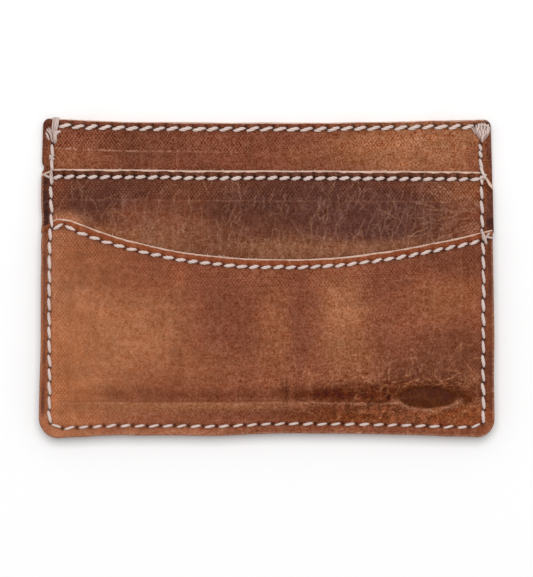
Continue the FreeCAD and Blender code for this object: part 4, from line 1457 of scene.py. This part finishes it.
def bowed_path(start, end, bow, top, height):
    """Points with both ends in the leather and the middle raised, and pushed aside in x by the bow."""
    path = []
    shoulder = 0.6 * height
    lifts = (-0.15, shoulder, height, shoulder, -0.15)
    for share, lift in zip((0.0, 0.2, 0.5, 0.8, 1.0), lifts):
        x = start[0] + (end[0] - start[0]) * share + bow * math.sin(math.pi * share)
        path.append((x, start[1] + (end[1] - start[1]) * share, top + lift))
    return path


def tack_strand(path, radius, rng, turns):
    """A strand through a few given points, smoothed."""
    path = np.asarray(path, float)
    share = np.linspace(0, len(path) - 1, 14)
    line = np.column_stack([np.interp(share, range(len(path)), path[:, k]) for k in range(3)])
    for _ in range(2):
        line[1:-1] = (line[:-2] + 2 * line[1:-1] + line[2:]) / 4
    thick = np.full(len(line), radius) * rng.uniform(0.85, 1.15)
    return strand(line, thick, turns, rng.uniform(0, 2), 0.9)


def over_edge(x_top, x_low, y_low):
    """A strand from the front face, over the top edge and down into the rear face."""
    edge = float(top_edge(np.array(x_top)))
    top = 2 * THICK
    return [
        (x_low, y_low, top - 0.1),
        (x_low, y_low + 0.35, top + 0.34),
        ((x_top + x_low) / 2, (edge + y_low) / 2, top + 0.42),
        (x_top, edge - 0.3, top + 0.34),
        (x_top, edge + 0.24, top + 0.05),
        (x_top, edge + 0.30, THICK),
        (x_top, edge + 0.18, 0.35),
        (x_top, edge - 0.8, 0.22),
        (x_top, edge - 1.9, 0.4),
    ]


def wisp(base, tip, bow, turn, radius):
    """A loose fibre from its base, bowed to one side, that thins towards its tip."""
    share = np.linspace(0, 1, 5)[:, None]
    line = np.array(base) + np.array(tip) * share + np.array(bow) * np.sin(turn * share)
    return strand(line, np.linspace(radius, 0.02, 5), 0.0, 0.0, 1.0)


def add_fuzz(gathered, box, count, rng):
    """Short loose fibres that stand out of a tack."""
    for _ in range(count):
        x, y = rng.uniform(box[0], box[1]), rng.uniform(box[2], box[3])
        way = rng.uniform(0, 2 * math.pi)
        reach = rng.uniform(0.25, 0.7)
        tip = (reach * math.cos(way), reach * math.sin(way), rng.uniform(-0.1, 0.15))
        gathered.add(wisp((x, y, 2 * THICK + 0.45), tip, (0, 0, 0.12), math.pi, 0.05))


def left_tack():
    """A bundle over the top edge, a knot below it, and strokes that fan out down to the seam."""
    rng = np.random.default_rng(91)
    gathered = Strands()
    for x_top, x_low, y_low in LEFT_BUNDLE:
        made = tack_strand(over_edge(x_top, x_low, y_low), 0.23, rng, 4.0)
        gathered.add(made, rng.uniform(-0.1, 0.3))
    add_strokes(gathered, LEFT_TACK, 0.22, rng)
    add_fuzz(gathered, (-48.8, -46.0, 31.0, 33.8), 12, rng)
    gathered.piece("left_bar_tack_thread", "left_bar_tack", 0.12)


def right_tack():
    """A fan that narrows down to the seam, with strokes over it. The fan lies underneath and is painted
    darker, partly as soiling and partly as painted shade, and the strokes on top are painted lighter.
    """
    rng = np.random.default_rng(92)
    gathered = Strands()
    top = 2 * THICK
    count = 9
    # the fan and the two strands beside it are painted darker as the shaded lower layer, with some
    # soiling
    for n in range(count):
        share = (n * 4 % count) / (count - 1)
        crown = math.sin(math.pi * share)
        start = (46.3 + 3.2 * share, 33.4 + 0.5 * crown + rng.uniform(-0.2, 0.2))
        end = (47.5 + 1.0 * share, 30.3 + 0.6 * abs(2 * share - 1) + rng.uniform(-0.1, 0.4))
        height = 0.24 + 0.2 * crown * rng.uniform(0.5, 1.2)
        path = bowed_path(start, end, 0.5 * (share - 0.5), top, height)
        gathered.add(tack_strand(path, 0.24, rng, 2.0), rng.uniform(0.6, 1.1))
    for x in (45.5, 45.95):
        path = bowed_path((x, 33.4), (x + 0.9, 31.9), 0.1, top, 0.25)
        gathered.add(tack_strand(path, 0.2, rng, 2.0), rng.uniform(0.5, 0.9))
    # the strokes on top are painted lighter, as lit
    add_strokes(gathered, RIGHT_TACK, 0.17, rng, -0.3, 0.1)
    add_fuzz(gathered, (46.6, 49.2, 31.8, 34.3), 40, rng)
    gathered.piece("right_bar_tack_thread", "right_bar_tack", -0.05)


seam_stitches()
left_tack()
right_tack()


# ---------------------------------------------------------------- loose fibres of the raw edges


# tufts: edge, its sheet's layer, middle and half width, number of fibres
TUFTS = [
    (straight_edge, 2, 27.5, 4.5, 46),
    (straight_edge, 2, 0, 46, 90),
    (scoop_edge, 3, 0, 46, 80),
    (scoop_edge, 3, -3, 1.0, 12),
    (scoop_edge, 3, -10, 0.8, 10),
    (top_edge, 1, 0, 44, 30),
]


def edge_fibres():
    """Fine wisps of leather that stand out of the raw mouths, in tufts here and there."""
    rng = np.random.default_rng(95)
    gathered = Strands()
    for edge, layer, middle, spread, number in TUFTS:
        for _ in range(number):
            x = float(np.clip(middle + spread * rng.uniform(-1, 1), -48, 48))
            y = float(edge(np.array(x))) - 0.1
            z = float(sheet_height(layer, np.array([x]), np.array([y]))[0]) - rng.uniform(0.1, 0.6)
            way = rng.normal(UPRIGHT, 0.9)
            reach = rng.uniform(0.15, 0.55)
            tip = np.array([math.cos(way), abs(math.sin(way)), rng.uniform(-0.2, 0.4)]) * reach
            gathered.add(wisp((x, y, z), tip, (0.15 * reach, 0, 0), 3, 0.055))
    points = np.vstack(gathered.points)
    piece = make_mesh("raw_edge_fibres", points, gathered.faces, None, (RAW_EDGE,))
    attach(piece, BODY)


edge_fibres()


# ---------------------------------------------------------------- floor, light and camera

# in metres. The view's height is what the picture spans at the floor
CAMERA_DISTANCE = 0.9
VIEW_HEIGHT = 0.12827
VIEW_CENTRE = (0.00004, -0.00228)
SENSOR = 36.0
FLOOR_HALF_SIZE = 3.0


def add_floor():
    """A plain pale floor at height 0."""
    n = Nodes("pale_floor")
    n.feed(n.shader, {"Base Color": (0.93, 0.93, 0.93, 1), "Roughness": 0.9})
    mesh = bpy.data.meshes.new("floor")
    size = FLOOR_HALF_SIZE
    corners = [(-size, -size, 0), (size, -size, 0), (size, size, 0), (-size, size, 0)]
    mesh.from_pydata(corners, [], [(0, 1, 2, 3)])
    mesh.materials.append(n.material)
    floor = placed("floor", mesh)


def add_light(place, size, power):
    """A soft studio light that points at the holder."""
    light = bpy.data.lights.new("key", "AREA")
    light.shape = "RECTANGLE"
    light.size, light.size_y = size
    light.energy = power
    lamp = placed("key", light)
    lamp.location = place
    lamp.rotation_euler = (Vector((0, 0, 0)) - Vector(place)).to_track_quat("-Z", "Y").to_euler()


def add_world(strength):
    """An even white surround."""
    world = bpy.data.worlds.new("studio")
    world.use_nodes = True
    background = world.node_tree.nodes["Background"]
    background.inputs["Color"].default_value = (1, 1, 1, 1)
    background.inputs["Strength"].default_value = strength
    bpy.context.scene.world = world


def add_camera():
    """A camera straight above, far enough off for hardly any perspective."""
    camera = bpy.data.cameras.new("camera")
    camera.sensor_width = SENSOR
    camera.lens = SENSOR * CAMERA_DISTANCE / VIEW_HEIGHT
    camera.clip_start, camera.clip_end = 0.05, 10
    holder = placed("camera", camera)
    holder.location = (*VIEW_CENTRE, CAMERA_DISTANCE)
    bpy.context.scene.camera = holder


add_floor()
add_light((0.0, 0.34, 1.05), (0.8, 0.7), 7.8)
add_world(0.56)
add_camera()
bpy.context.scene.view_settings.view_transform = "Standard"
